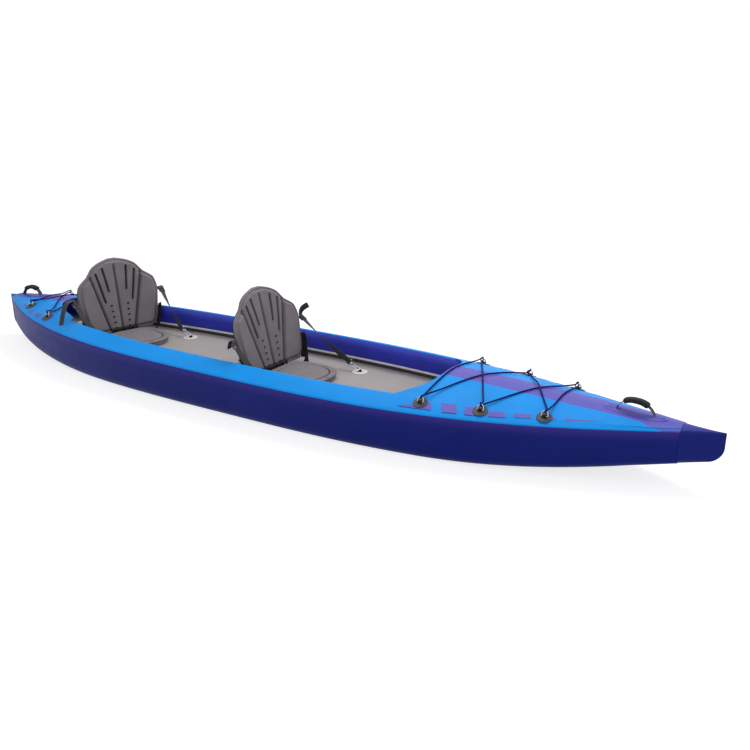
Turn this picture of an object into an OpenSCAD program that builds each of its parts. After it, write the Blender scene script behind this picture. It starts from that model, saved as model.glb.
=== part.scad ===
// Two-seat inflatable kayak: drop-stitch floor and side chambers, laced fabric decks, strap-on foam seats.
// Millimetres. +X points to the bow, +Y to port and +Z up. The origin is on the ground, under the middle.

/* [Hull] */
// Overall length from stem to stern
hull_length = 4730; // [4600:10:4900]
// Overall width at the outer top edges
beam = 974; // [940:2:1010]
// Height of the outer top edge amidships
edge_height = 234; // [225:1:245]
// Extra height of the top edge at the bow
bow_sheer = 46; // [36:1:56]
// Extra height of the top edge at the stern
stern_sheer = 42; // [32:1:52]
// Rise of the bottom at the bow
bow_rocker = 150; // [130:2:160]
// Rise of the bottom at the stern
stern_rocker = 79; // [65:1:90]
// Thickness of a side chamber
side_thickness = 138; // [125:1:146]
// How far a side leans in from its top edge down to the bottom
side_flare = 42; // [30:1:52]
// Height of the crowned top above its outer edge, at full beam
crown_height = 111; // [100:1:120]
// Thickness of the floor chamber
floor_thickness = 140; // [132:1:144]
// Height of the tape over the floor's side seams
seam_tape_height = 30; // [20:1:40]

/* [Decks and nose caps] */
// Cockpit's front end on the centreline, ahead of the middle
cockpit_front = 1040; // [1030:1:1046]
// Depth of the cockpit's rounded front end
cockpit_front_round = 130; // [110:1:150]
// Cockpit's rear end on the centreline, behind the middle
cockpit_rear = 1740; // [1730:1:1750]
// Depth of the cockpit's rounded rear end
cockpit_rear_round = 300; // [280:1:320]
// Thickness of a deck sheet with its lining
deck_thickness = 3; // [2:0.5:4]
// Length of the bow nose cap
bow_cap_length = 180; // [165:1:195]
// Length of the stern nose cap
stern_cap_length = 70; // [60:1:80]
// How far a nose cap stands proud of the chambers
cap_proud = 3; // [2:0.5:4]

/* [Deck rigging] */
// Diameter of the shock cord
cord_d = 6; // [5:0.5:7]
// Diameter of a deck ring's round patch
deck_patch_d = 72; // [64:1:78]
// Thickness of a round patch
patch_thickness = 3; // [2:0.5:4]
// Diameter of the steel rod of a D-ring
ring_rod = 5; // [4:0.5:5.5]
// Width of a D-ring between the middles of its legs
ring_width = 30; // [28:1:34]
// Length of a D-ring's straight legs
ring_leg = 8; // [7:1:10]
// Lean of a deck ring towards the centreline, from flat
deck_ring_lift = 50; // [45:1:55]

/* [Handles] */
// Distance between a carry handle's two feet
handle_span = 168; // [150:2:180]
// Rise of a carry handle's grip above its feet
handle_rise = 50; // [44:1:56]
// Width of a handle's webbing
handle_webbing_width = 28; // [24:1:32]
// Width of a handle's padded grip
grip_width = 36; // [34:1:42]
// Thickness of a handle's padded grip
grip_thickness = 14; // [11:0.5:16]
// Middle of the bow handle, ahead of the middle of the hull
bow_handle_x = 1973; // [1965:1:1985]
// Middle of the stern handle, behind the middle of the hull
stern_handle_x = 2136; // [2126:1:2142]

/* [Seats] */
// Front seat's hinge line
front_hinge_x = -20; // [-40:1:0]
// Rear seat's hinge line
rear_hinge_x = -1295; // [-1315:1:-1270]
// Front seat's place across the hull, to port
front_seat_y = -42; // [-44:1:0]
// Rear seat's place across the hull, to port
rear_seat_y = 24; // [0:1:26]
// Turn of the front seat, port side forward
front_turn = 1.5; // [0:0.5:3]
// Turn of the rear seat, port side forward
rear_turn = 16; // [10:0.5:17]
// Lean of the front backrest from upright
front_lean = 13; // [8:0.5:16]
// Lean of the rear backrest from upright
rear_lean = 8; // [4:0.5:14]
// Height of the hinge line above the floor
hinge_height = 44; // [42:1:50]
// Top of a backrest above its hinge line
back_top = 447; // [430:1:455]
// Half width of a backrest at its widest
back_half_width = 270; // [258:1:274]
// Thickness of the backrest foam
back_thickness = 24; // [20:0.5:28]
// How far a backrest's sides curve forward
back_wrap = 31; // [26:1:40]
// Depth of the channels pressed into the foam
channel_depth = 7; // [4:0.5:9]
// Long channels' distance from the middle at the hinge line
fan_low_y = 95; // [88:1:102]
// Long channels' distance from the middle at a backrest's top
fan_top_y = 178; // [170:1:184]
// Length of a seat pad
pad_length = 350; // [330:1:365]
// Half width of a seat pad
pad_half_width = 180; // [170:1:188]
// Height of a seat pad at its rim
pad_height = 33; // [30:1:36]
// Radius of the sewn hinge roll
hinge_roll_r = 7; // [5:0.5:8]

/* [Straps and hooks] */
// Width of the seat webbing
webbing_width = 32; // [25:1:34]
// Thickness of the seat webbing
webbing_thickness = 2.4; // [2:0.1:3]
// Diameter of a floor anchor's round patch
floor_patch_d = 89; // [80:1:96]
// Front anchors, ahead of the hinge line
anchor_ahead = 395; // [385:1:405]
// Front anchors, out from the centreline
front_anchor_y = 202; // [196:1:212]
// Rear anchors, behind the hinge line
anchor_behind = 205; // [195:1:215]
// Rear anchors, out from the centreline
rear_anchor_y = 170; // [160:1:180]
// Height of the front straps' buckles on the backrest, above the hinge line
buckle_height = 200; // [190:1:215]
// Height of the front seat's slack strap buckle
front_slack_height = 185; // [175:1:200]
// Height of the rear seat's slack strap buckle
rear_slack_height = 195; // [185:1:205]
// Slack straps' low stretch, ahead of the hinge line
slack_ahead = 66; // [55:1:80]
// Slack straps' low stretch, in from the side chamber
slack_clear = 39; // [34:1:44]
// Slack straps' low stretch, above the floor
slack_lift = 30; // [25:1:36]
// Height of the rear straps' tops on the backrest, above the hinge line
rear_strap_height = 120; // [100:1:140]
// Diameter of a snap hook's rod
hook_rod = 4.5; // [4:0.1:5]
// Radius of a snap hook's bend at the middle of its rod
hook_bend_r = 7.5; // [7.3:0.1:8.5]
// Length of a snap hook's opening
hook_opening = 28; // [26:1:32]

/* [Valves and skeg box] */
// Floor valve, behind the middle of the hull
floor_valve_x = 1668; // [1655:1:1680]
// Side valves, behind the middle of the hull
side_valve_x = 1500; // [1490:1:1520]
// Height of the side valves
side_valve_z = 215; // [205:1:225]
// Diameter of a valve's flange
valve_flange_d = 64; // [60:1:68]
// Diameter of a valve's throat
valve_bore_d = 21; // [18:0.5:22]
// Travel of a valve's stem
stem_travel = 4; // [3:0.5:5]
// Middle of the skeg box, behind the middle of the hull
skeg_x = 1800; // [1780:5:1820]
// Length of the slot in the skeg box
skeg_slot_length = 180; // [160:2:190]
// Width of the slot in the skeg box
skeg_slot_width = 10; // [8:0.5:12]
// Depth of the slot in the skeg box
skeg_slot_depth = 14; // [10:0.5:15]

/* [Hidden] */

// Colours
light_blue = "#2fa5ff";
navy = "#1a2066";
violet = "#5a55b8";
floor_grey = "#b0aaa8";
tape_grey = "#8a8884";
foam_grey = "#66626a";
webbing_black = "#2c2c2f";
steel = "#c8ccd0";
patch_dark = "#4a484c";
patch_pale = "#eceae6";

// Fullness and end taper of the plan outline, bow and stern
bow_fullness = 2.72;
bow_taper = 1.263;
stern_fullness = 3.35;
stern_taper = 0.985;
// Share of the half length over which the bottom is flat, and the power of the crown's curve
flat_share = 0.45;
crown_power = 1.7;
// Gap between bonded faces, and the gap between a sheet and the curved skin below it
bond_gap = 0.4;
lay_gap = 0.8;
// Radii of a side chamber's rounded edges: outer bottom, outer top, inner crest, inner bottom
chine_r = 60;
edge_r = 24;
crest_r = 42;
inner_r = 10;
// Radius of the stems, and how far each stem's foot is raked and lifted
stem_r = 8;
bow_rake = 60;
bow_forefoot = 62;
stern_rake = 26;
stern_forefoot = 22;
floor_tip = 20;
floor_edge_r = 22;
stations = 40;
corner_steps = 4;

half_length = hull_length / 2;
half_beam = beam / 2;
bow_cap_x = half_length - bow_cap_length;
stern_cap_x = -(half_length - stern_cap_length);
sheet_offset = lay_gap + deck_thickness;

// Plan and profile of the hull
function share(x) = min(1, abs(x) / half_length);
function fullness(x) = x > 0 ? bow_fullness : stern_fullness;
function taper(x) = x > 0 ? bow_taper : stern_taper;
function half(x) = half_beam * pow(1 - pow(share(x), fullness(x)), taper(x));
function edge_z(x) = edge_height + (x > 0 ? bow_sheer : stern_sheer) * pow(share(x), 3);
function keel_share(x) = max(0, share(x) - flat_share) / (1 - flat_share);
function keel_z(x) = (x > 0 ? bow_rocker : stern_rocker) * pow(keel_share(x), 2);
function crown(x) = crown_height * half(x) / half_beam;
function out_share(x, y) = min(1, abs(y) / max(half(x), 1));
function top_z(x, y) = edge_z(x) + crown(x) * (1 - pow(out_share(x, y), crown_power));
function inner_y(x) = max(half(x) - side_thickness, bond_gap / 2);
function floor_top(x) = keel_z(x) + floor_thickness;
// Distance along the hull, towards one end, at which the half width has come down to a value
function x_of_half(h, full, end) = half_length * pow(1 - pow(h / half_beam, 1 / end), 1 / full);
floor_bow_x = x_of_half(side_thickness + floor_tip, bow_fullness, bow_taper);
floor_stern_x = -x_of_half(side_thickness + floor_tip, stern_fullness, stern_taper);

function lerp(a, b, t) = a + (b - a) * t;
function unit(v) = v / norm(v);

// A rounded corner at p between its neighbours, as a short curve, or the bare point for no radius
function corner(before, p, after, r) = r == 0 ? [p] :
    let (a = p + unit(before - p) * min(r, norm(before - p) * 0.45))
    let (b = p + unit(after - p) * min(r, norm(after - p) * 0.45))
    [for (k = [0 : corner_steps]) let (t = k / corner_steps)
        a * (1 - t) * (1 - t) + p * 2 * t * (1 - t) + b * t * t];
function rounded(outline, radii) =
    let (n = len(outline))
    [for (i = [0 : n - 1]) each corner(outline[(i + n - 1) % n], outline[i], outline[(i + 1) % n], radii[i])];

// Triangles that skin a row of rings, closed or with flat ends
function quad(a, b, c, d) = [[a, c, b], [a, d, c]];
function ring_faces(rows, n, closed) =
    [for (i = [0 : rows - (closed ? 1 : 2)], j = [0 : n - 1])
        let (next = ((i + 1) % rows) * n, k = (j + 1) % n)
        each quad(i * n + j, i * n + k, next + k, next + j)];
function end_faces(rows, n) =
    let (last = (rows - 1) * n)
    [for (j = [1 : n - 2]) each [[0, j, j + 1], [last, last + j + 1, last + j]]];
module loft(rings, closed = false) {
    rows = len(rings);
    n = len(rings[0]);
    faces = concat(ring_faces(rows, n, closed), closed ? [] : end_faces(rows, n));
    polyhedron(points = [for (ring = rings) each ring], faces = faces, convexity = 8);
}

// A closed sheet between an upper and a lower grid of points
module sheet(upper, lower) {
    m = len(upper);
    n = len(upper[0]);
    under = m * n;
    faces = concat(
        [for (i = [0 : m - 2], j = [0 : n - 2])
            let (a = i * n + j, b = a + 1, c = a + n + 1, d = a + n)
            let (e = under + a, f = under + b, g = under + c, h = under + d)
            each [[a, b, c], [a, c, d], [e, g, f], [e, h, g]]],
        [for (j = [0 : n - 2])
            let (a = j, e = (m - 1) * n + j)
            each [[a, under + a, under + a + 1], [a, under + a + 1, a + 1],
                [e, e + 1, under + e + 1], [e, under + e + 1, under + e]]],
        [for (i = [0 : m - 2])
            let (a = i * n, e = a + n - 1)
            each [[a, a + n, under + a + n], [a, under + a + n, under + a],
                [e, under + e, under + e + n], [e, under + e + n, e + n]]]);
    points = concat([for (row = upper) each row], [for (row = lower) each row]);
    polyhedron(points = points, faces = faces, convexity = 8);
}

// A flat band of webbing along a route, with its width direction given at each point
module band(route, widths, width, thickness) {
    last = len(route) - 1;
    rows = [for (i = [0 : last])
        let (along = unit(route[min(i + 1, last)] - route[max(i - 1, 0)]))
        let (face = unit(cross(along, widths[i])))
        let (wide = unit(cross(face, along)))
        let (w = wide * width / 2, t = face * thickness / 2)
        [route[i] - w, route[i] + w, t]];
    sheet([for (r = rows) [r[0] + r[2], r[1] + r[2]]], [for (r = rows) [r[0] - r[2], r[1] - r[2]]]);
}

// A closed round cord along a loop of points that never run along X
cord_sides = 8;
module cord_loop(route) {
    n = len(route);
    loft([for (i = [0 : n - 1])
        let (along = unit(route[(i + 1) % n] - route[(i + n - 1) % n]))
        let (side = unit(cross(along, [1, 0, 0])))
        let (up = cross(side, along))
        [for (k = [0 : cord_sides - 1])
            route[i] + cord_d / 2 * (side * cos(360 * k / cord_sides) - up * sin(360 * k / cord_sides))]],
        closed = true);
}

// Frame on the crowned top: along the hull, across it and off the skin, with the place at a lift above it
function top_frame(x, y, lift) =
    let (step = 4)
    let (slope_x = (top_z(x + step, y) - top_z(x - step, y)) / (2 * step))
    let (slope_y = (top_z(x, y + step) - top_z(x, y - step)) / (2 * step))
    let (z = unit([-slope_x, -slope_y, 1]), a = unit([1, 0, slope_x]))
    [a, cross(z, a), z, [x, y, top_z(x, y)] + z * lift];
module in_frame(f) {
    multmatrix([for (k = [0 : 3]) k < 3 ? [f[0][k], f[1][k], f[2][k], f[3][k]] : [0, 0, 0, 1]]) children();
}

// Hull chambers

// Shares of the way from the outer edge to the crest at which the top's curve is followed
crown_points = [0.25, 0.5, 0.75];
function side_section(x) =
    let (h = half(x), w = inner_y(x), low = keel_z(x), flare = side_flare * h / half_beam)
    let (top = [for (t = crown_points) let (y = lerp(h, w, t)) [y, top_z(x, y)]])
    let (outline = concat([[h - flare, low], [h, edge_z(x)]], top, [[w, top_z(x, w)], [w, low]]))
    let (radii = concat([chine_r, edge_r], [for (t = crown_points) 0], [crest_r, inner_r]))
    [for (p = rounded(outline, radii)) [x, p.x, p.y]];
function station(i) = lerp(stern_cap_x + bond_gap, bow_cap_x - bond_gap, i / stations);
// The shared stations between two places, with the places themselves
function stations_between(a, b) =
    concat([a], [for (i = [0 : stations]) if (station(i) > a + 10 && station(i) < b - 10) station(i)], [b]);
module side_chamber() {
    loft([for (i = [0 : stations]) side_section(station(i))]);
}
module port_side_chamber() {
    color(navy) difference() {
        side_chamber();
        at_side_valve() valve_hole();
    }
}
module starboard_side_chamber() {
    mirror([0, 1, 0]) port_side_chamber();
}

function floor_section(x) =
    let (w = inner_y(x) - bond_gap, low = keel_z(x), high = floor_top(x), r = floor_edge_r)
    [for (p = rounded([[w, low], [w, high], [-w, high], [-w, low]], [r, r, r, r])) [x, p.x, p.y]];
module floor_chamber() {
    color(floor_grey) difference() {
        loft([for (x = stations_between(floor_stern_x, floor_bow_x)) floor_section(x)]);
        at_floor_valve() valve_hole();
    }
}

tape_thickness = 2;
tape_gap = 0.9;
tape_bow_x = cockpit_front + 160;
tape_stern_x = -(cockpit_rear + 60);
function tape_section(x) =
    let (y = inner_y(x) - tape_gap, low = floor_top(x) + bond_gap, high = low + seam_tape_height)
    [[x, y, low], [x, y, high], [x, y - tape_thickness, high], [x, y - tape_thickness, low]];
module floor_seam_tapes() {
    color(tape_grey) for (side = [0, 1]) mirror([0, side, 0])
        loft([for (x = stations_between(tape_stern_x, tape_bow_x)) tape_section(x)]);
}

// Decks: sheets over the crowned top, from the cockpit's rounded ends to the nose caps

deck_columns = 16;
deck_rows = 12;
deck_inset = edge_r - 4;
cockpit_power = 3.5;
function end_curve(u, x, depth) = depth * min(1, pow(abs(u) * half(x) / inner_y(x), cockpit_power));
function deck_point(x, u, lift) =
    let (y = u * (half(x) - deck_inset))
    [x, y, top_z(x, y) + lift];
module deck(edge_x, depth, cap_x) {
    toward = sign(cap_x);
    grid = [for (i = [0 : deck_rows]) [for (j = [0 : deck_columns])
        let (u = 2 * j / deck_columns - 1, near = edge_x - toward * end_curve(u, edge_x, depth))
        let (t = toward > 0 ? i / deck_rows : 1 - i / deck_rows)
        [lerp(near, cap_x - toward * bond_gap, t), u]]];
    sheet([for (row = grid) [for (p = row) deck_point(p.x, p.y, sheet_offset)]],
        [for (row = grid) [for (p = row) deck_point(p.x, p.y, lay_gap)]]);
}
module bow_deck() {
    color(light_blue) deck(cockpit_front, cockpit_front_round, bow_cap_x);
}
module stern_deck() {
    color(light_blue) deck(-cockpit_rear, cockpit_rear_round, stern_cap_x);
}

// Nose caps: wrapped stems that close the two ends

cap_steps = 10;
function stem_share(x, length) = max(0, abs(x) - (half_length - length)) / length;
function cap_half(x) =
    max(half(x) + cap_proud, stem_r) * sqrt(max(0.02, 1 - pow(stem_share(x, stem_r), 2)));
function forefoot(x) = x > 0 ? bow_forefoot * (1 - sqrt(1 - pow(stem_share(x, bow_rake), 2)))
    : stern_forefoot * (1 - sqrt(1 - pow(stem_share(x, stern_rake), 2)));
function cap_section(x) =
    let (proud = cap_proud * (1 - stem_share(x, bow_cap_length)))
    let (h = cap_half(x), low = keel_z(x) + forefoot(x) - proud)
    let (foot = h * (1 - side_flare / half_beam), edge = edge_z(x), ridge = top_z(x, 0) + sheet_offset)
    let (outline = [[foot, low], [h, edge], [0, ridge], [-h, edge], [-foot, low]])
    let (r = min(edge_r, h * 0.8))
    [for (p = rounded(outline, [chine_r, r, crest_r, r, chine_r])) [x, p.x, p.y]];
module nose_cap(from_x, to_x) {
    loft([for (i = [0 : cap_steps]) cap_section(lerp(from_x, to_x, sin(90 * i / cap_steps)))]);
}
module bow_nose_cap() {
    color(violet) nose_cap(bow_cap_x + bond_gap, half_length);
}
module stern_nose_cap() {
    color(violet) mirror([1, 0, 0]) loft([for (i = [0 : cap_steps])
        let (x = lerp(stern_cap_x - bond_gap, -half_length, sin(90 * i / cap_steps)))
        [for (p = cap_section(x)) [-p.x, p.y, p.z]]]);
}

// Skeg box under the stern

skeg_wall = 7;
skeg_plate = 3;
skeg_margin = 20;
module skeg_box() {
    step = 60;
    pitch = atan((keel_z(-skeg_x + step) - keel_z(-skeg_x - step)) / (2 * step));
    length = skeg_slot_length + 2 * skeg_wall;
    width = skeg_slot_width + 2 * skeg_wall;
    color(webbing_black) translate([-skeg_x, 0, keel_z(-skeg_x) - 2 * bond_gap]) rotate([0, -pitch, 0])
        difference() {
            union() {
                translate([-length / 2 - skeg_margin, -width / 2 - skeg_margin, -skeg_plate])
                    cube([length + 2 * skeg_margin, width + 2 * skeg_margin, skeg_plate]);
                translate([-length / 2, -width / 2, -skeg_slot_depth - skeg_plate])
                    cube([length, width, skeg_slot_depth + skeg_plate]);
            }
            translate([-skeg_slot_length / 2, -skeg_slot_width / 2, -skeg_slot_depth - skeg_plate - 1])
                cube([skeg_slot_length, skeg_slot_width, skeg_slot_depth + 1]);
        }
}

// Carry handles: a patch on the ridge, sewn webbing feet and a padded grip

handle_patch_length = 290;
handle_patch_half = 46;
handle_patch_thickness = 1.6;
handle_foot = 42;
grip_share = 0.66;
arch_steps = 12;
function patch_half_at(t) = max(6, handle_patch_half * pow(1 - pow(abs(t), 4), 0.5));
module handle_patch(mid_x) {
    grid = [for (i = [0 : 12]) let (t = i / 6 - 1) [for (j = [-2 : 2])
        [mid_x + t * handle_patch_length / 2, patch_half_at(t) * j / 2]]];
    low = sheet_offset + lay_gap;
    high = low + handle_patch_thickness;
    sheet([for (row = grid) [for (p = row) [p.x, p.y, top_z(p.x, p.y) + high]]],
        [for (row = grid) [for (p = row) [p.x, p.y, top_z(p.x, p.y) + low]]]);
}
module handle_patches() {
    color(violet) {
        handle_patch(bow_handle_x);
        handle_patch(-stern_handle_x);
    }
}
handle_lift = sheet_offset + 2 * lay_gap + handle_patch_thickness + webbing_thickness / 2;
function handle_base(x) = top_z(x, 0) + handle_lift;
// A point of the handle's arch, with t from -1 at the aft foot to 1 at the fore foot
function arch_point(mid_x, t) =
    let (x = mid_x + handle_span / 2 * t, rise = handle_rise * pow(1 - pow(abs(t), 2.4), 0.75))
    [x, 0, handle_base(x) + rise];
function foot_points(mid_x, end) =
    let (x = mid_x + end * handle_span / 2)
    [for (s = [1, 0.5, 0]) [x + end * handle_foot * s, 0, handle_base(x + end * handle_foot * s)]];
function arch_points(mid_x, from, to, steps) =
    [for (i = [0 : steps]) arch_point(mid_x, lerp(from, to, i / steps))];
module handle_webbing(mid_x) {
    for (end = [-1, 1]) {
        route = concat(foot_points(mid_x, end), arch_points(mid_x, end * 0.97, end * (grip_share + 0.01), 5));
        band(route, [for (p = route) [0, 1, 0]], handle_webbing_width, webbing_thickness);
    }
}
module handle_grip(mid_x) {
    route = arch_points(mid_x, -grip_share, grip_share, arch_steps);
    last = len(route) - 1;
    w = grip_width / 2;
    t = grip_thickness / 2;
    loft([for (i = [0 : last])
        let (along = unit(route[min(i + 1, last)] - route[max(i - 1, 0)]), up = cross(along, [0, 1, 0]))
        let (end = i == 0 || i == last ? 0.75 : 1)
        [for (p = rounded([[w, -t], [w, t], [-w, t], [-w, -t]], [t, t, t, t]))
            route[i] + [0, p.x * end, 0] + up * p.y * end]]);
}
module bow_handle_webbing() {
    color(webbing_black) handle_webbing(bow_handle_x);
}
module bow_handle_grip() {
    color(webbing_black) handle_grip(bow_handle_x);
}
module stern_handle_webbing() {
    color(webbing_black) handle_webbing(-stern_handle_x);
}
module stern_handle_grip() {
    color(webbing_black) handle_grip(-stern_handle_x);
}

// Round patches with a webbing tab and a D-ring, in a frame with Z off the skin and the bar along X

tab_length = 20;
tab_reach = 24;
tab_wall = 2;
tab_base = 2;
bar_clear = 0.35;
bar_height = patch_thickness + bond_gap + tab_base + bar_clear + ring_rod / 2;
module patch(d) {
    cylinder(d = d, h = patch_thickness, $fn = 64);
}
module ring_tab() {
    bore_r = ring_rod / 2 + bar_clear;
    base_z = patch_thickness + bond_gap;
    difference() {
        union() {
            translate([-tab_length / 2, -tab_reach / 2, base_z]) cube([tab_length, tab_reach, tab_base]);
            translate([-tab_length / 2, 0, bar_height]) rotate([0, 90, 0])
                cylinder(r = bore_r + tab_wall, h = tab_length, $fn = 40);
        }
        translate([-tab_length, 0, bar_height]) rotate([0, 90, 0])
            cylinder(r = bore_r, h = 2 * tab_length, $fn = 40);
        translate([-tab_length, -tab_reach, base_z - tab_reach])
            cube([2 * tab_length, 2 * tab_reach, tab_reach]);
    }
}
// The ring's bow reaches along +Y, lifted by an angle from flat
module d_ring(lift) {
    r = ring_rod / 2;
    w = ring_width / 2;
    translate([0, 0, bar_height]) rotate([lift, 0, 0]) {
        translate([-w, 0, 0]) rotate([0, 90, 0]) cylinder(r = r, h = ring_width, $fn = 32);
        for (x = [-w, w]) translate([x, 0, 0]) {
            sphere(r = r, $fn = 32);
            rotate([-90, 0, 0]) cylinder(r = r, h = ring_leg, $fn = 32);
        }
        translate([0, ring_leg, 0]) rotate_extrude(angle = 180, $fn = 64)
            translate([w, 0]) circle(r = r, $fn = 32);
    }
}

// Deck rings, as distance along the hull and inset from the outer edge
bow_rings = [[1063, 77], [1347, 68], [1628, 59]];
stern_rings = [[-1650, 73], [-1940, 74]];
function ring_y(ring) = half(ring.x) - ring.y;
function ring_frame(ring) = top_frame(ring.x, ring_y(ring), sheet_offset + lay_gap);
module each_deck_ring() {
    for (ring = concat(bow_rings, stern_rings), side = [0, 1])
        mirror([0, side, 0]) in_frame(ring_frame(ring)) mirror([0, 1, 0]) children();
}
module deck_ring_patches() {
    color(patch_dark) each_deck_ring() patch(deck_patch_d);
}
module deck_ring_tabs() {
    color(patch_dark) each_deck_ring() ring_tab();
}
module deck_d_rings() {
    color(steel) each_deck_ring() d_ring(deck_ring_lift);
}

// Shock cords: one closed loop through the rings, lying over the crown between them

cord_lie = sheet_offset + cord_d / 2 + 2.4;
cord_hump = 9;
leg_steps = 6;
// Turn round a ring's bow, over its tip, through the ring and out below, in the ring's own frame
ring_bow = ring_leg + ring_width / 2;
turn_r = (ring_rod / 2 + cord_d / 2 + 0.7) / cos(27);
turn_angles = [50, 100, 152, 206, 260, 312];
turn_shift = 6;
function ring_turn(arrive, leave, side, ring) =
    let (f = ring_frame(ring))
    let (y = ring_bow * cos(deck_ring_lift), z = bar_height + ring_bow * sin(deck_ring_lift))
    let (bend = [for (i = [0 : 5]) let (a = turn_angles[i])
        [turn_shift * lerp(arrive, leave, i / 5), y + turn_r * cos(a), z + turn_r * sin(a)]])
    let (first = [turn_shift * arrive, y + 30, z - 6], last = [turn_shift * leave, y + 30, z - 15])
    let (points = concat([first], bend, [last]))
    [for (p = points) let (w = f[3] + f[0] * p.x - f[1] * p.y + f[2] * p.z) [w.x, side * w.y, w.z]];
// A leg over the crown between two points already off the skin
function cord_leg(a, b, hump) =
    [for (i = [1 : leg_steps]) let (t = i / (leg_steps + 1), x = lerp(a.x, b.x, t), y = lerp(a.y, b.y, t))
        let (ends = lerp(a.z - top_z(a.x, a.y), b.z - top_z(b.x, b.y), t))
        [x, y, top_z(x, y) + lerp(cord_lie, ends, pow(2 * t - 1, 4)) + hump * pow(sin(180 * t), 4)]];
function cord_route(stops) =
    let (n = len(stops))
    let (turns = [for (s = stops) ring_turn(s[2], s[3], s[1], s[0])])
    [for (i = [0 : n - 1]) each concat(turns[i],
        cord_leg(turns[i][7], turns[(i + 1) % n][0], stops[i][4]))];
// Stops of each cord: ring, side, direction of the arriving and leaving legs along X, hump of the leaving leg
bow_stops = [
    [bow_rings[0], -1, 1, -1, 0], [bow_rings[0], 1, -1, 1, cord_hump], [bow_rings[1], -1, -1, 1, 0],
    [bow_rings[2], 1, -1, 1, 0], [bow_rings[2], -1, 1, -1, cord_hump], [bow_rings[1], 1, 1, -1, 0]
];
stern_stops = [
    [stern_rings[0], -1, -1, 1, 0], [stern_rings[0], 1, 1, -1, cord_hump],
    [stern_rings[1], -1, 1, -1, 0], [stern_rings[1], 1, -1, 1, 0]
];
module bow_shock_cord() {
    color(navy) cord_loop(cord_route(bow_stops));
}
module stern_shock_cord() {
    color(navy) cord_loop(cord_route(stern_stops));
}

// Valves, in a frame with Z out of the skin

barrel_r = valve_flange_d / 2 - 12;
barrel_depth = 30;
valve_seat_gap = 0.9;
flange_t = 4;
neck_top = 9;
neck_r = valve_flange_d / 2 - 10;
spider_top = -14;
spider_t = 4;
guide_r = 2.6;
poppet_t = 2.6;
cap_wall = 3;
cap_gap = 0.5;
cap_r = neck_r + 1.6 + cap_wall;
cap_top = neck_top + 9;
knuckle_x = cap_r + 6;
knuckle_z = flange_t + 4;
knuckle_r = 3.2;
knuckle_pin_r = 1.5;
knuckle_half = 5;
ear_t = 3.5;
module at_floor_valve() {
    step = 30;
    pitch = atan((floor_top(-floor_valve_x + step) - floor_top(-floor_valve_x - step)) / (2 * step));
    translate([-floor_valve_x, 0, floor_top(-floor_valve_x) + valve_seat_gap])
        rotate([0, -pitch, 0]) rotate([0, 0, 180]) children();
}
module at_side_valve() {
    step = 30;
    x = -side_valve_x;
    yaw = atan((inner_y(x + step) - inner_y(x - step)) / (2 * step));
    translate([x, inner_y(x) - valve_seat_gap, side_valve_z]) rotate([0, 0, yaw])
        rotate([90, 0, 0]) children();
}
module valve_hole() {
    translate([0, 0, -barrel_depth - 1]) cylinder(r = barrel_r + bond_gap, h = barrel_depth + 9, $fn = 64);
}
module valve_body() {
    color(tape_grey) {
        difference() {
            union() {
                cylinder(d = valve_flange_d, h = flange_t, $fn = 72);
                translate([0, 0, -barrel_depth]) cylinder(r = barrel_r, h = barrel_depth, $fn = 64);
                cylinder(r = neck_r, h = neck_top, $fn = 64);
                translate([0, -knuckle_half - ear_t - 1, 0])
                    cube([knuckle_x + knuckle_r + 1, 2 * (knuckle_half + ear_t + 1), flange_t]);
                for (y = [-knuckle_half - ear_t - 0.4, knuckle_half + 0.4])
                    translate([knuckle_x, y, knuckle_z]) rotate([-90, 0, 0])
                        cylinder(r = knuckle_r, h = ear_t, $fn = 32);
                for (y = [-knuckle_half - ear_t - 0.4, knuckle_half + 0.4])
                    translate([knuckle_x - knuckle_r, y, flange_t - 1])
                        cube([2 * knuckle_r, ear_t, knuckle_z - flange_t + 1]);
            }
            translate([0, 0, spider_top]) cylinder(d = valve_bore_d, h = neck_top - spider_top + 1, $fn = 64);
            translate([0, 0, -barrel_depth - 1])
                cylinder(r = barrel_r - 3, h = barrel_depth + 1 + spider_top - spider_t, $fn = 64);
            translate([0, 0, spider_top - spider_t - 1]) cylinder(r = guide_r, h = spider_t + 2, $fn = 32);
            for (a = [0 : 120 : 240]) rotate([0, 0, a]) translate([6.4, 0, spider_top - spider_t - 1])
                cylinder(r = 2.6, h = spider_t + 2, $fn = 32);
        }
        translate([knuckle_x, -knuckle_half - ear_t, knuckle_z]) rotate([-90, 0, 0])
            cylinder(r = knuckle_pin_r, h = 2 * (knuckle_half + ear_t), $fn = 32);
    }
}
module valve_stem() {
    poppet_top = spider_top - spider_t - 0.2;
    color(patch_pale) {
        translate([0, 0, poppet_top - poppet_t]) cylinder(r = 11, h = poppet_t, $fn = 48);
        translate([0, 0, poppet_top - 1])
            cylinder(r = guide_r - 0.1, h = neck_top - 4 - poppet_top, $fn = 32);
        translate([0, 0, neck_top - 6]) cylinder(r = 5, h = 3, $fn = 40);
    }
}
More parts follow.
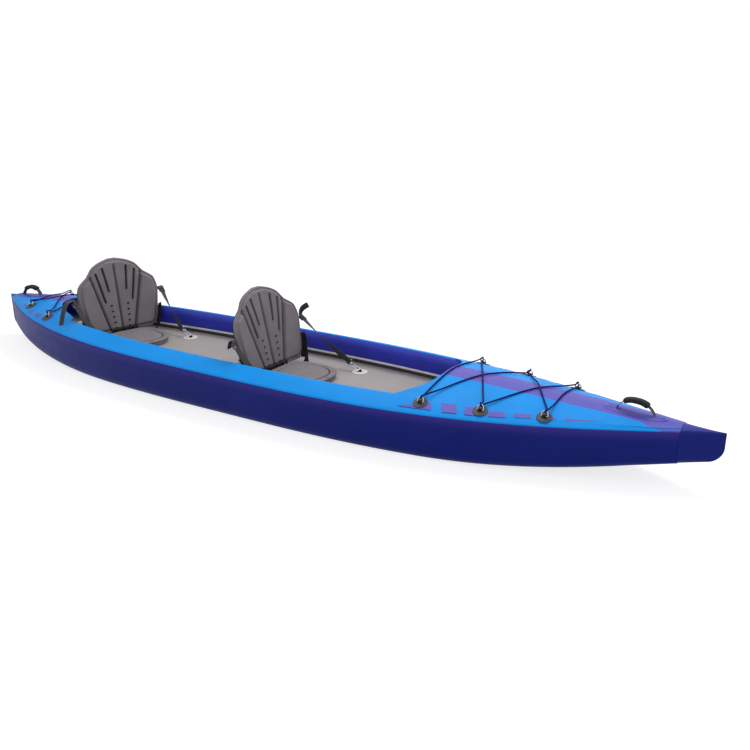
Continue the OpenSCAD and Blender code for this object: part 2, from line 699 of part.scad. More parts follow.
module valve_cap() {
    color(patch_pale) difference() {
        union() {
            translate([0, 0, flange_t + cap_gap])
                cylinder(r = cap_r, h = cap_top - flange_t - cap_gap, $fn = 72);
            translate([cap_r - 3, -knuckle_half, knuckle_z - knuckle_r])
                cube([knuckle_x - cap_r + 3, 2 * knuckle_half, 2 * knuckle_r]);
            translate([knuckle_x, -knuckle_half, knuckle_z]) rotate([-90, 0, 0])
                cylinder(r = knuckle_r, h = 2 * knuckle_half, $fn = 32);
            for (a = [0 : 30 : 330]) rotate([0, 0, a + 15]) translate([cap_r, 0, flange_t + cap_gap + 3])
                cylinder(r = 1.6, h = cap_top - flange_t - cap_gap - 5, $fn = 20);
        }
        translate([0, 0, flange_t])
            cylinder(r = cap_r - cap_wall, h = cap_top - cap_wall - flange_t, $fn = 72);
        translate([knuckle_x, -knuckle_half - 1, knuckle_z]) rotate([-90, 0, 0])
            cylinder(r = knuckle_pin_r + 0.15, h = 2 * knuckle_half + 2, $fn = 32);
    }
}
module floor_valve_body() { at_floor_valve() valve_body(); }
module floor_valve_stem() { at_floor_valve() valve_stem(); }
module floor_valve_cap() { at_floor_valve() valve_cap(); }
module port_valve_body() { at_side_valve() valve_body(); }
module port_valve_stem() { at_side_valve() valve_stem(); }
module port_valve_cap() { at_side_valve() valve_cap(); }
module starboard_valve_body() { mirror([0, 1, 0]) port_valve_body(); }
module starboard_valve_stem() { mirror([0, 1, 0]) port_valve_stem(); }
module starboard_valve_cap() { mirror([0, 1, 0]) port_valve_cap(); }

// Seats. A seat's bay lies along the hull at the hinge line; the seat stands turned and aside in its bay,
// and the backrest's own frame leans with it

function seat_x(rear) = rear ? rear_hinge_x : front_hinge_x;
function seat_y(rear) = rear ? rear_seat_y : front_seat_y;
function seat_turn(rear) = rear ? rear_turn : front_turn;
function seat_lean(rear) = rear ? rear_lean : front_lean;
function seat_floor(rear) = floor_top(seat_x(rear)) + bond_gap;
module at_bay(rear) {
    translate([seat_x(rear), 0, seat_floor(rear)]) children();
}
module at_seat(rear) {
    at_bay(rear) translate([0, seat_y(rear), 0]) rotate([0, 0, -seat_turn(rear)]) children();
}
module at_back(rear) {
    at_seat(rear) translate([0, 0, hinge_height]) rotate([0, -seat_lean(rear), 0]) children();
}
function back_to_seat(p, rear) =
    let (a = seat_lean(rear))
    [p.x * cos(a) - p.z * sin(a), p.y, p.x * sin(a) + p.z * cos(a) + hinge_height];
function seat_to_bay(p, rear) =
    let (a = seat_turn(rear))
    [p.x * cos(a) + p.y * sin(a), p.y * cos(a) - p.x * sin(a) + seat_y(rear), p.z];
function flip(p, side) = [p.x, side == 1 ? -p.y : p.y, p.z];
// A backrest's point on one side, in the bay's frame mirrored for starboard
function back_to_bay(p, rear, side) = flip(seat_to_bay(back_to_seat(flip(p, side), rear), rear), side);

roll_half = 92;
sleeve_clear = 0.4;
sleeve_t = 2;
sleeve_half = 14;
sleeve_places = [-56, 0, 56];
web_places = [-80, -28, 28, 80];
web_half = 10;
web_drop = 14;

// Seat pad: rings up its side, over the rim, down into the channel and up the crowned middle panel
pad_sides = 36;
pad_rear = hinge_roll_r + sleeve_clear + sleeve_t + 1;
pad_rings = [
    [0.955, 0, 0], [0.97, 0.3, 0], [0.955, 0.55, 0], [1, 0.8, 0], [0.985, 0.96, 0], [0.93, 1.02, 0],
    [0.84, 1.02, 0], [0.79, 0.98, 0], [0.76, 0.98, -1], [0.73, 1, 0], [0.66, 1.08, 0], [0.5, 1.13, 0],
    [0.25, 1.16, 0]
];
pad_front_power = 2.3;
pad_rear_power = 3.2;
function pad_outline(a) =
    let (n = cos(a) > 0 ? pad_front_power : pad_rear_power, waist = 1 - 0.035 * pow(abs(sin(a)), 8))
    [sign(cos(a)) * pow(abs(cos(a)), 2 / n) * pad_length / 2,
        sign(sin(a)) * pow(abs(sin(a)), 2 / n) * pad_half_width * waist];
module seat_pad() {
    mid = [pad_rear + pad_length / 2, 0, 0];
    color(foam_grey) loft([for (ring = pad_rings) [for (k = [0 : pad_sides - 1])
        let (p = pad_outline(360 * k / pad_sides) * ring[0])
        mid + [p.x, p.y, ring[1] * pad_height + ring[2] * channel_depth]]]);
}
// Hinge roll with webs to the pad; the backrest's sleeves turn on it between the webs
module hinge_roll() {
    color(webbing_black) translate([0, 0, hinge_height]) {
        translate([0, -roll_half, 0]) rotate([-90, 0, 0])
            cylinder(r = hinge_roll_r, h = 2 * roll_half, $fn = 40);
        for (y = web_places) translate([0, y - web_half, -hinge_roll_r - web_drop])
            cube([pad_rear - bond_gap, 2 * web_half, hinge_roll_r + web_drop]);
    }
}

// Backrest outline: height above the hinge line as a share of its top, half width as a share of its widest
back_outline = [
    [-0.045, 0.62], [0, 0.69], [0.06, 0.84], [0.12, 0.9], [0.2, 0.94], [0.3, 0.965], [0.4, 0.99], [0.5, 1],
    [0.58, 0.985], [0.66, 0.94], [0.7, 0.875], [0.74, 0.785], [0.79, 0.66], [0.84, 0.55], [0.9, 0.445],
    [0.95, 0.32], [0.98, 0.2], [1, 0.08]
];
foam_swell = 1.12;
back_front = -(hinge_roll_r + sleeve_clear + sleeve_t + 4);
back_rear = back_front - back_thickness * foam_swell;
back_low = back_outline[0].x * back_top;
backing_thickness = 3;
backing_low = [[-0.045, 0.84], [0.34, 0.98]];
function wrap(y) = back_wrap * pow(y / back_half_width, 2);
function back_half(v) = back_half_width * lookup(v / back_top, back_outline);
function backing_half(v) =
    let (s = v / back_top, low = s < 0.34 ? back_half_width * lookup(s, backing_low) : 0)
    max(back_half(v), low) + 2;
// Two long channels fan out from a seat's middle channel
function fan_y(v, w) = min(lerp(fan_low_y, fan_top_y, v / back_top), w * 0.66);
function end_round(v) =
    let (up = (back_top - v) / 26, down = (v - back_low) / 20)
    0.35 + 0.65 * sqrt(min(1, max(0, min(up, down))));
// Columns across a backrest: place, share of the foam's thickness and share of the channel's depth
function back_columns(v) =
    let (w = back_half(v), g = fan_y(v, w))
    let (rim = w / back_half_width)
    let (right = [[7, 0.98, 0], [(g - 9) / 2, foam_swell, 0], [g - 9, 0.98, 0], [g, 0.98, 1],
        [g + 9, 0.98, 0], [(g + w) / 2, 1.1, 0], [w - 14 * rim, 1.02, 0], [w - 4 * rim, 0.8, 0],
        [w, 0.42, 0]])
    let (left = [for (k = [len(right) - 1 : -1 : 0]) [-right[k].x, right[k].y, right[k].z]])
    concat(left, [[0, 0.98, 1]], right);
back_rows = [for (p = back_outline) p.x * back_top];
module backrest_foam() {
    columns = [for (v = back_rows) back_columns(v)];
    cells = len(columns[0]);
    front = [for (j = [0 : cells - 1]) [for (i = [0 : len(back_rows) - 1])
        let (c = columns[i][j])
        let (depth = back_thickness * c.y * end_round(back_rows[i]) - channel_depth * c.z)
        [back_rear + wrap(c.x) + max(4, depth), c.x, back_rows[i]]]];
    rear = [for (j = [0 : cells - 1]) [for (i = [0 : len(back_rows) - 1])
        let (c = columns[i][j])
        [back_rear + wrap(c.x), c.x, back_rows[i]]]];
    color(foam_grey) sheet(front, rear);
}
backing_columns = 8;
module backrest_backing() {
    place = back_rear - bond_gap;
    grid = [for (j = [0 : backing_columns]) [for (v = back_rows)
        [backing_half(v) * (2 * j / backing_columns - 1), v]]];
    color(webbing_black) {
        sheet([for (row = grid) [for (p = row) [place + wrap(p.x) - 0.6, p.x, p.y]]],
            [for (row = grid) [for (p = row) [place + wrap(p.x) - 0.6 - backing_thickness, p.x, p.y]]]);
        for (y = sleeve_places) translate([0, y, 0]) hinge_sleeve();
    }
}
// A sleeve on the hinge roll and its strip under the foam to the backing
module hinge_sleeve() {
    r = hinge_roll_r + sleeve_clear;
    out = r + sleeve_t;
    low = back_low - 1;
    rear = back_rear - bond_gap - 0.6 - backing_thickness;
    difference() {
        union() {
            translate([0, -sleeve_half, 0]) rotate([-90, 0, 0])
                cylinder(r = out, h = 2 * sleeve_half, $fn = 40);
            translate([-out, -sleeve_half, low - sleeve_t])
                cube([sleeve_t, 2 * sleeve_half, sleeve_t - low]);
            translate([rear, -sleeve_half, low - sleeve_t])
                cube([1 - out - rear, 2 * sleeve_half, sleeve_t]);
            translate([rear, -sleeve_half, low - sleeve_t])
                cube([sleeve_t, 2 * sleeve_half, sleeve_t + 8]);
        }
        translate([0, -sleeve_half - 1, 0]) rotate([-90, 0, 0])
            cylinder(r = r, h = 2 * sleeve_half + 2, $fn = 40);
    }
}

// Side gussets: dark fabric triangles from the backrest's lower sides to the seat pad's sides
gusset_thickness = 1.6;
gusset_gap = 0.95;
gusset_height = 0.26;
gusset_ahead = 70;
module gusset(rear, side) {
    v = gusset_height * back_top;
    low_v = back_low + 4;
    y = backing_half(v) + 6 * gusset_gap;
    low_y = backing_half(low_v) + 5 * gusset_gap;
    a = back_to_seat([back_rear + wrap(y) - backing_thickness, y, v], rear);
    b = back_to_seat([back_rear + wrap(low_y) - backing_thickness, low_y, low_v], rear);
    c = [pad_rear + gusset_ahead, pad_half_width + 5, pad_height * 0.7];
    foot = [pad_rear + 12, pad_half_width + 8, 0];
    foot_x = seat_x(rear) + seat_to_bay(flip(foot, side), rear).x;
    d = foot + [0, 0, floor_top(foot_x) - floor_top(seat_x(rear))];
    past = [back_thickness * foam_swell + 12, 0, 0];
    t = [0, gusset_thickness, 0];
    inner = [[b, a], [b + past, a + past], [d, c]];
    sheet([for (row = inner) [for (q = row) q + t]], inner);
}
module side_gussets(rear) {
    color(webbing_black) at_seat(rear) for (side = [0, 1]) mirror([0, side, 0]) gusset(rear, side);
}

// Snap hooks, in a frame with X along the strap from the ring's bow, in the upright plane of the strap

hook_neck = 12;
eye_height = 9;
eye_rod = 3.6;
cheek_gap = 2.6;
cheek_t = 1.6;
gate_r = 1.8;
gate_eye_r = 3.2;
gate_pin_r = 1.3;
gate_pivot = hook_opening - 2;
module snap_hook() {
    r = hook_rod / 2;
    b = hook_bend_r;
    color(steel) {
        rotate([90, 0, 0]) rotate([0, 0, 90]) rotate_extrude(angle = 180, $fn = 64)
            translate([b, 0]) circle(r = r, $fn = 28);
        translate([0, 0, -b]) rotate([0, 90, 0]) cylinder(r = r, h = hook_opening + 6, $fn = 28);
        translate([0, 0, b]) rotate([0, 90, 0]) cylinder(r = r, h = 3, $fn = 28);
        translate([hook_opening + 6, 0, -b - r]) cylinder(r = r, h = 2 * b + 2 * r, $fn = 28);
        for (y = [-cheek_gap - cheek_t, cheek_gap]) translate([gate_pivot, y, b]) rotate([-90, 0, 0])
            cylinder(r = gate_eye_r, h = cheek_t, $fn = 28);
        for (y = [-cheek_gap - cheek_t, cheek_gap]) translate([gate_pivot, y, b - gate_eye_r])
            cube([8, cheek_t, 2 * gate_eye_r]);
        translate([gate_pivot, -cheek_gap - cheek_t, b]) rotate([-90, 0, 0])
            cylinder(r = gate_pin_r, h = 2 * (cheek_gap + cheek_t), $fn = 24);
        translate([gate_pivot + 5.5, -cheek_gap - cheek_t, b - gate_eye_r])
            cube([4.5, 2 * (cheek_gap + cheek_t), 2 * gate_eye_r]);
        translate([hook_opening + 6, 0, 0]) rotate([0, 90, 0]) cylinder(r = 4.5, h = hook_neck, $fn = 32);
        hook_eye();
    }
}
// Rectangular eye for the webbing at the hook's upper end
eye_x = hook_opening + 6 + hook_neck;
module hook_eye() {
    r = eye_rod / 2;
    w = webbing_width / 2 + r + 1;
    for (x = [eye_x, eye_x + eye_height]) translate([x, 0, -w]) cylinder(r = r, h = 2 * w, $fn = 24);
    for (z = [-w, w]) {
        translate([eye_x, 0, z]) rotate([0, 90, 0]) cylinder(r = r, h = eye_height, $fn = 24);
        for (x = [eye_x, eye_x + eye_height]) translate([x, 0, z]) sphere(r = r, $fn = 24);
    }
}
module hook_gate() {
    color(steel) difference() {
        union() {
            translate([hook_rod / 2 + 1.6, 0, hook_bend_r]) rotate([0, 90, 0])
                cylinder(r = gate_r, h = gate_pivot - hook_rod / 2 - 1.6, $fn = 28);
            translate([gate_pivot, -cheek_gap + 0.4, hook_bend_r]) rotate([-90, 0, 0])
                cylinder(r = gate_eye_r - 0.6, h = 2 * cheek_gap - 0.8, $fn = 28);
        }
        translate([gate_pivot, -cheek_gap, hook_bend_r]) rotate([-90, 0, 0])
            cylinder(r = gate_pin_r + 0.1, h = 2 * cheek_gap, $fn = 24);
    }
}

// Strap ends: the ring's bow at a floor anchor, and the strap's top on the backrest
fore_angle = 30;
aft_angle = 48;
hook_slack = hook_bend_r - hook_rod / 2 - ring_rod / 2 - 0.4;
// Anchor's middle in the bay's frame, and the strap's direction there
function anchor(fore) = fore ? [anchor_ahead, front_anchor_y, 0] : [-anchor_behind, rear_anchor_y, 0];
function strap_lift(fore) = fore ? 180 - fore_angle : aft_angle;
function strap_along(fore) = [cos(strap_lift(fore)), 0, sin(strap_lift(fore))];
function anchor_floor(rear, fore) = floor_top(seat_x(rear) + anchor(fore).x) - floor_top(seat_x(rear));
function hook_base(rear, fore) = anchor(fore) + [0, 0, anchor_floor(rear, fore) + bar_height]
    + strap_along(fore) * (ring_bow + hook_slack);
module at_anchor(rear, fore, side) {
    at_bay(rear) mirror([0, side, 0])
        translate(anchor(fore) + [0, 0, anchor_floor(rear, fore) + bar_height]) children();
}
// Patches and tabs lie with the floor, turned about the ring's bar
function floor_pitch(x) = atan((floor_top(x + 30) - floor_top(x - 30)) / 60);
module each_anchor() {
    for (rear = [false, true], fore = [true, false], side = [0, 1])
        at_anchor(rear, fore, side) rotate([0, -floor_pitch(seat_x(rear) + anchor(fore).x), 0])
            rotate([0, 0, fore ? 90 : -90]) translate([0, 0, -bar_height]) children();
}
module floor_anchor_patches() {
    color(patch_pale) each_anchor() patch(floor_patch_d);
}
module floor_anchor_tabs() {
    color(patch_dark) each_anchor() ring_tab();
}
module floor_d_rings() {
    color(steel) for (rear = [false, true], fore = [true, false], side = [0, 1])
        at_anchor(rear, fore, side) rotate([0, 0, fore ? 90 : -90]) translate([0, 0, -bar_height])
            d_ring(fore ? 180 - strap_lift(fore) : strap_lift(fore));
}
module at_hook(rear, fore, side) {
    at_bay(rear) mirror([0, side, 0]) translate(hook_base(rear, fore)) rotate([0, -strap_lift(fore), 0])
        mirror([0, 0, fore ? 1 : 0]) children();
}
module seat_hooks(rear) {
    for (fore = [true, false], side = [0, 1]) at_hook(rear, fore, side) snap_hook();
}

// Straps: a sewn loop round the hook's eye, then up to the backrest, turning from edge-on to flat.
// The port front strap is taut; the starboard one is slack and lies along the floor's edge
buckle_length = 34;
buckle_t = 8;
buckle_out = 26;
strap_steps = 10;
turn_from = 0.2;
loop_r = eye_rod / 2 + webbing_thickness / 2 + 0.5;
loop_tail = 14;
loop_turn = [for (a = [-90 : -45 : -270]) [loop_r * cos(a), loop_r * sin(a)]];
function hook_point(rear, fore, u, y) =
    hook_base(rear, fore) + strap_along(fore) * (eye_x + eye_height + u) + [0, y, 0];
function strap_loop(rear, fore) =
    let (turn = [for (p = loop_turn) hook_point(rear, fore, p.x, p.y)])
    concat([hook_point(rear, fore, loop_tail, -loop_r)], turn);
function edge_on(fore) = [-strap_along(fore).z, 0, strap_along(fore).x];
function slack_height(rear) = rear ? rear_slack_height : front_slack_height;
function buckle_point(rear, side) =
    let (v = side == 0 ? buckle_height : slack_height(rear), y = back_half(v) + buckle_out)
    back_to_bay([back_rear + wrap(y) + 8, y, v], rear, side);
function strap_start(rear, fore) = hook_point(rear, fore, loop_tail, loop_r);
// Stops of the slack strap on its way from the hook to the buckle, in the mirrored bay's frame
function slack_stops(rear) =
    let (y = inner_y(seat_x(rear) + slack_ahead) - slack_clear)
    [strap_start(rear, true), [anchor_ahead / 2, y, slack_lift], [slack_ahead, y, slack_lift],
        buckle_point(rear, 1)];
function curve(p, t) = p[0] * pow(1 - t, 3) + p[1] * 3 * t * pow(1 - t, 2) + p[2] * 3 * t * t * (1 - t)
    + p[3] * pow(t, 3);
function buckle_along(rear, side) =
    unit(buckle_point(rear, side) - (side == 0 ? strap_start(rear, true) : slack_stops(rear)[2]));
function buckle_face(rear, side) = unit(cross([0, 1, 0], buckle_along(rear, side)));
function strap_top(rear, side) =
    buckle_point(rear, side) - buckle_along(rear, side) * (buckle_length / 2 + 1);
function rear_top(rear, side) =
    let (y = rear_anchor_y + 14)
    back_to_bay([back_rear + wrap(y) - backing_thickness - 12, y, rear_strap_height], rear, side);
// The loop, then the run, which turns through a quarter once it is past the loop's end
module strap(rear, fore, run) {
    turn = [for (i = [0 : strap_steps])
        let (t = 90 * max(0, i / strap_steps - turn_from) / (1 - turn_from))
        edge_on(fore) * cos(t) + [0, fore ? 1 : -1, 0] * sin(t)];
    loop = strap_loop(rear, fore);
    band(concat(loop, run), concat([for (p = loop) edge_on(fore)], turn), webbing_width, webbing_thickness);
}
taut_sag = 10;
rear_bow = 12;
module front_strap(rear, side) {
    start = strap_start(rear, true);
    top = strap_top(rear, side);
    stops = slack_stops(rear);
    run = [for (i = [0 : strap_steps]) let (t = i / strap_steps)
        side == 0 ? lerp(start, top, t) - [0, 0, taut_sag * sin(180 * t)]
            : curve([stops[0], stops[1], stops[2], top], t)];
    strap(rear, true, run);
}
module rear_strap(rear, side) {
    start = strap_start(rear, false);
    top = rear_top(rear, side);
    run = [for (i = [0 : strap_steps]) let (t = i / strap_steps)
        lerp(start, top, t) - [rear_bow * sin(180 * t), 0, 0]];
    strap(rear, false, run);
}
module front_straps(rear) {
    color(webbing_black) at_bay(rear) for (side = [0, 1]) mirror([0, side, 0]) front_strap(rear, side);
}
module rear_straps(rear) {
    color(webbing_black) at_bay(rear) for (side = [0, 1]) mirror([0, side, 0]) rear_strap(rear, side);
}

// Ladder buckles at the strap tops
buckle_bar = 6;
module at_buckle(rear, side) {
    x = buckle_along(rear, side);
    z = buckle_face(rear, side);
    in_frame([x, cross(z, x), z, buckle_point(rear, side)]) children();
}
module buckle(rear, side) {
    color("#1c1c1e") at_buckle(rear, side) difference() {
        translate([-buckle_length / 2, -webbing_width / 2 - 4, -buckle_t / 2])
            cube([buckle_length, webbing_width + 8, buckle_t]);
        for (x = [-buckle_bar - 5, buckle_bar]) translate([x, -webbing_width / 2 - 0.6, -buckle_t])
            cube([5, webbing_width + 1.2, 2 * buckle_t]);
    }
}
module strap_buckles(rear) {
    at_bay(rear) for (side = [0, 1]) mirror([0, side, 0]) buckle(rear, side);
}

// Loose strap tails: past the buckle's end, then along a route in the mirrored bay's frame
front_port_tail = [[4, 6, 26], [20, 14, 46], [40, 24, 58]];
front_starboard_tail = [[-20, -2, -4], [-34, -6, -26], [-40, -8, -52]];
rear_port_tail = [[-20, -6, -4], [-34, -16, -32], [-40, -24, -64]];
rear_starboard_tail = [[-6, 28, 6], [8, 68, 0], [22, 104, -34], [34, 132, -76], [42, 150, -108]];
tail_lift = buckle_t / 2 + webbing_thickness / 2 + 0.7;
module tail(rear, side, route, end_width) {
    along = buckle_along(rear, side);
    face = buckle_face(rear, side);
    start = buckle_point(rear, side) + face * tail_lift;
    past = start + along * (buckle_length / 2 + 7) + face * 3;
    points = concat([start, past], [for (p = route) past + p]);
    widths = [for (i = [0 : len(points) - 1]) lerp([0, 1, 0], end_width, min(1, max(0, i - 1) / 2))];
    band(points, widths, webbing_width, webbing_thickness);
}
module strap_tails(rear) {
    color(webbing_black) at_bay(rear) {
        tail(rear, 0, rear ? rear_port_tail : front_port_tail, [0, 1, 0]);
        mirror([0, 1, 0])
            tail(rear, 1, rear ? rear_starboard_tail : front_starboard_tail,
                rear ? [1, -0.25, 0] : [0, 1, 0]);
    }
}

module front_seat_pad() { at_seat(false) seat_pad(); }
module front_hinge_roll() { at_seat(false) hinge_roll(); }
module front_backrest_foam() { at_back(false) backrest_foam(); }
module front_backrest_backing() { at_back(false) backrest_backing(); }
module front_side_gussets() { side_gussets(false); }
module front_seat_front_straps() { front_straps(false); }
module front_seat_rear_straps() { rear_straps(false); }
module front_strap_tails() { strap_tails(false); }
module front_strap_buckles() { strap_buckles(false); }
module front_seat_hooks() { seat_hooks(false); }
module rear_seat_pad() { at_seat(true) seat_pad(); }
module rear_hinge_roll() { at_seat(true) hinge_roll(); }
module rear_backrest_foam() { at_back(true) backrest_foam(); }
module rear_backrest_backing() { at_back(true) backrest_backing(); }
module rear_side_gussets() { side_gussets(true); }
module rear_seat_front_straps() { front_straps(true); }
module rear_seat_rear_straps() { rear_straps(true); }
module rear_strap_tails() { strap_tails(true); }
module rear_strap_buckles() { strap_buckles(true); }
module rear_seat_hooks() { seat_hooks(true); }
module front_gate_fore_port() { at_hook(false, true, 0) hook_gate(); }
module front_gate_fore_starboard() { at_hook(false, true, 1) hook_gate(); }
module front_gate_aft_port() { at_hook(false, false, 0) hook_gate(); }
module front_gate_aft_starboard() { at_hook(false, false, 1) hook_gate(); }
module rear_gate_fore_port() { at_hook(true, true, 0) hook_gate(); }
module rear_gate_fore_starboard() { at_hook(true, true, 1) hook_gate(); }
module rear_gate_aft_port() { at_hook(true, false, 0) hook_gate(); }
module rear_gate_aft_starboard() { at_hook(true, false, 1) hook_gate(); }

floor_chamber();
port_side_chamber();
starboard_side_chamber();
bow_deck();
stern_deck();
bow_nose_cap();
stern_nose_cap();
floor_seam_tapes();
skeg_box();
handle_patches();
bow_handle_webbing();
bow_handle_grip();
stern_handle_webbing();
stern_handle_grip();
deck_ring_patches();
deck_ring_tabs();
deck_d_rings();
bow_shock_cord();
stern_shock_cord();
floor_anchor_patches();
floor_anchor_tabs();
floor_d_rings();
floor_valve_body();
floor_valve_stem();
floor_valve_cap();
port_valve_body();
port_valve_stem();
port_valve_cap();
starboard_valve_body();
starboard_valve_stem();
starboard_valve_cap();
front_seat_pad();
front_hinge_roll();
front_backrest_foam();
front_backrest_backing();
front_side_gussets();
front_seat_front_straps();
front_seat_rear_straps();
front_strap_tails();
front_strap_buckles();
front_seat_hooks();
rear_seat_pad();
rear_hinge_roll();
rear_backrest_foam();
rear_backrest_backing();
rear_side_gussets();
rear_seat_front_straps();
rear_seat_rear_straps();
rear_strap_tails();
rear_strap_buckles();
rear_seat_hooks();
front_gate_fore_port();
front_gate_fore_starboard();
front_gate_aft_port();
front_gate_aft_starboard();
rear_gate_fore_port();
rear_gate_fore_starboard();
rear_gate_aft_port();
rear_gate_aft_starboard();
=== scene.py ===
"""Looks of a two-seat inflatable kayak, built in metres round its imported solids."""
import logging
import math
from dataclasses import dataclass
from enum import Enum, IntEnum
from typing import Callable, Optional, Sequence

import bpy
import numpy as np
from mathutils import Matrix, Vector


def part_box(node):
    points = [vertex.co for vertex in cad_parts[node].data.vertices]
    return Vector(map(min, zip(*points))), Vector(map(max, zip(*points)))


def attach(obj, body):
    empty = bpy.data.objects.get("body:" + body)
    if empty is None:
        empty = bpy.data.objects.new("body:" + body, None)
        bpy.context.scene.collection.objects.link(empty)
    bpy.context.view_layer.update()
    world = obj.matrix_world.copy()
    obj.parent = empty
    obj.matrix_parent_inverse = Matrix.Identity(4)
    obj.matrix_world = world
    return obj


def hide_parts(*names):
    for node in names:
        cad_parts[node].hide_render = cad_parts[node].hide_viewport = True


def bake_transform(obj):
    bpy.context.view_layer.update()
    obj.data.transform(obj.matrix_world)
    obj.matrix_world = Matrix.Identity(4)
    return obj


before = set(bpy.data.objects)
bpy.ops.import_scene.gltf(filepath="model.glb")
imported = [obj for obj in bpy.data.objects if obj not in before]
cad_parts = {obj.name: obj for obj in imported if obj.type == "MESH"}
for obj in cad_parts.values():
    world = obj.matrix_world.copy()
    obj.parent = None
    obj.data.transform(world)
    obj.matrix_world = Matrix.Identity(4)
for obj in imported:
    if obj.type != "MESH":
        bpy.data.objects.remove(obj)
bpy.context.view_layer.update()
LOG = logging.getLogger("kayak")
HULL = "hull"
MM = 0.001
Array = np.ndarray
# Points and faces, and the same with each point's place on the flat material
Mesh = tuple[Array, list[tuple]]
FlatMesh = tuple[Array, list[tuple], Array]
# Two numbers, and a row of them
Pair = tuple[float, float]
Stops = tuple[Pair, ...]
Tree = bpy.types.NodeTree
Socket = bpy.types.NodeSocket


class Side(Enum):
    """Sides of the hull, as signs of Y."""

    PORT = 1.0
    STARBOARD = -1.0

    @property
    def flip(self) -> tuple[float, float, float]:
        """Factors that bring points of the port side to this one."""
        return 1, self.value, 1


class End(Enum):
    """Ends of the hull, as signs of X."""

    BOW = 1.0
    STERN = -1.0


class Skin(IntEnum):
    """Colours of a side chamber, in the order of its finishes."""

    NAVY = 0
    LIGHT_BLUE = 1
    VIOLET = 2
    # The inner walls' navy, painted lighter for the light on them
    ROYAL = 3


# Small mesh mathematics


def unit(v: Array) -> Array:
    """Vectors along the last axis, made one long."""
    return v / np.maximum(np.linalg.norm(v, axis=-1, keepdims=True), 1e-12)


def smooth(t: Array) -> Array:
    """Smooth step from 0 to 1, clipped."""
    t = np.clip(t, 0, 1)
    return t * t * (3 - 2 * t)


def round_angles(count: int) -> Array:
    """Even angles round a full turn, without its end."""
    return np.linspace(0, 2 * math.pi, count, endpoint=False)


def distance_along(route: Array) -> Array:
    """Each point's distance from the start, along the route."""
    return np.r_[0, np.linalg.norm(np.diff(route, axis=0), axis=1)].cumsum()


def slope_at(height: Callable[[float], Array], x: float) -> float:
    """Slope of one of the hull's lines at a place, over a short step."""
    step = 0.03
    return float(height(x + step) - height(x - step)) / (2 * step)


def resample(points: Array, per_span: int, closed: bool = False) -> Array:
    """Runs a smooth curve through points.

    Args:
        points: the stops, one a row.
        per_span: points made for each span between two stops.
        closed: whether the last stop joins the first.

    Returns:
        The curve's points, one a row.
    """
    p = np.asarray(points, float)
    n = len(p)
    if closed:
        ext = np.vstack([p[-1:], p, p[:2]])
    else:
        ext = np.vstack([2 * p[:1] - p[1:2], p, 2 * p[-1:] - p[-2:-1]])
    t = np.linspace(0, 1, per_span, endpoint=False)[:, None]
    made = []
    for i in range(n if closed else n - 1):
        a, b, c, d = ext[i:i + 4]
        made.append(0.5 * (2 * b + (c - a) * t + (2 * a - 5 * b + 4 * c - d) * t**2
                           + (3 * b - a - 3 * c + d) * t**3))
    if not closed:
        made.append(p[-1:])
    return np.vstack(made)


def grid_faces(rows: int, cols: int, wrap_rows: bool = False, wrap_cols: bool = False) -> list[tuple]:
    """Four-sided faces over a grid of points.

    Args:
        rows: rows of points.
        cols: points in a row.
        wrap_rows: whether the last row joins the first.
        wrap_cols: whether the last column joins the first.

    Returns:
        The faces, as point numbers.
    """
    faces = []
    for i in range(rows if wrap_rows else rows - 1):
        a, b = i * cols, ((i + 1) % rows) * cols
        for j in range(cols if wrap_cols else cols - 1):
            k = (j + 1) % cols
            faces.append((a + j, a + k, b + k, b + j))
    return faces


def loft(rings: Array, closed: bool = False) -> Mesh:
    """Skins a row of rings.

    Args:
        rings: rings by points by three.
        closed: whether the last ring joins the first; if not, both ends are capped.

    Returns:
        The points and the faces.
    """
    m, n = rings.shape[:2]
    faces = grid_faces(m, n, wrap_rows=closed, wrap_cols=True)
    if not closed:
        faces += [tuple(range(n - 1, -1, -1)), tuple((m - 1) * n + j for j in range(n))]
    return rings.reshape(-1, 3), faces


def thick_sheet(upper: Array, lower: Array) -> Mesh:
    """Closes an upper and a lower grid of points into one sheet.

    Args:
        upper: rows by columns by three.
        lower: the same shape.

    Returns:
        The points and the faces, the upper ones first.
    """
    m, n = upper.shape[:2]
    under = m * n
    faces = grid_faces(m, n)
    faces += [tuple(under + k for k in reversed(f)) for f in grid_faces(m, n)]
    rim = list(range(n)) + [i * n + n - 1 for i in range(1, m)]
    rim += [(m - 1) * n + j for j in range(n - 2, -1, -1)] + [i * n for i in range(m - 2, 0, -1)]
    for a, b in zip(rim, rim[1:] + rim[:1]):
        faces.append((b, a, under + a, under + b))
    return np.vstack([upper.reshape(-1, 3), lower.reshape(-1, 3)]), faces


def frames_along(route: Array, closed: bool) -> tuple[Array, Array]:
    """Two directions square to a route that turn as little as they can.

    Args:
        route: the route's points.
        closed: whether the route is a loop.

    Returns:
        The two directions at each point.
    """
    n = len(route)
    if closed:
        along = unit(np.roll(route, -1, 0) - np.roll(route, 1, 0))
    else:
        along = unit(np.gradient(route, axis=0))
    first = np.cross(along[0], (0, 0, 1.0))
    if np.linalg.norm(first) < 0.1:
        first = np.cross(along[0], (0, 1.0, 0))
    sides = [unit(first)]
    for i in range(1, n):
        s = sides[-1] - along[i] * np.dot(sides[-1], along[i])
        sides.append(unit(s))
    side = np.array(sides)
    if closed:
        last = side[-1] - along[0] * np.dot(side[-1], along[0])
        turn = math.atan2(np.dot(np.cross(unit(last), side[0]), along[0]), np.dot(unit(last), side[0]))
        a = (np.arange(n) / n * turn)[:, None]
        side = side * np.cos(a) + np.cross(along, side) * np.sin(a)
    return side, np.cross(along, side)


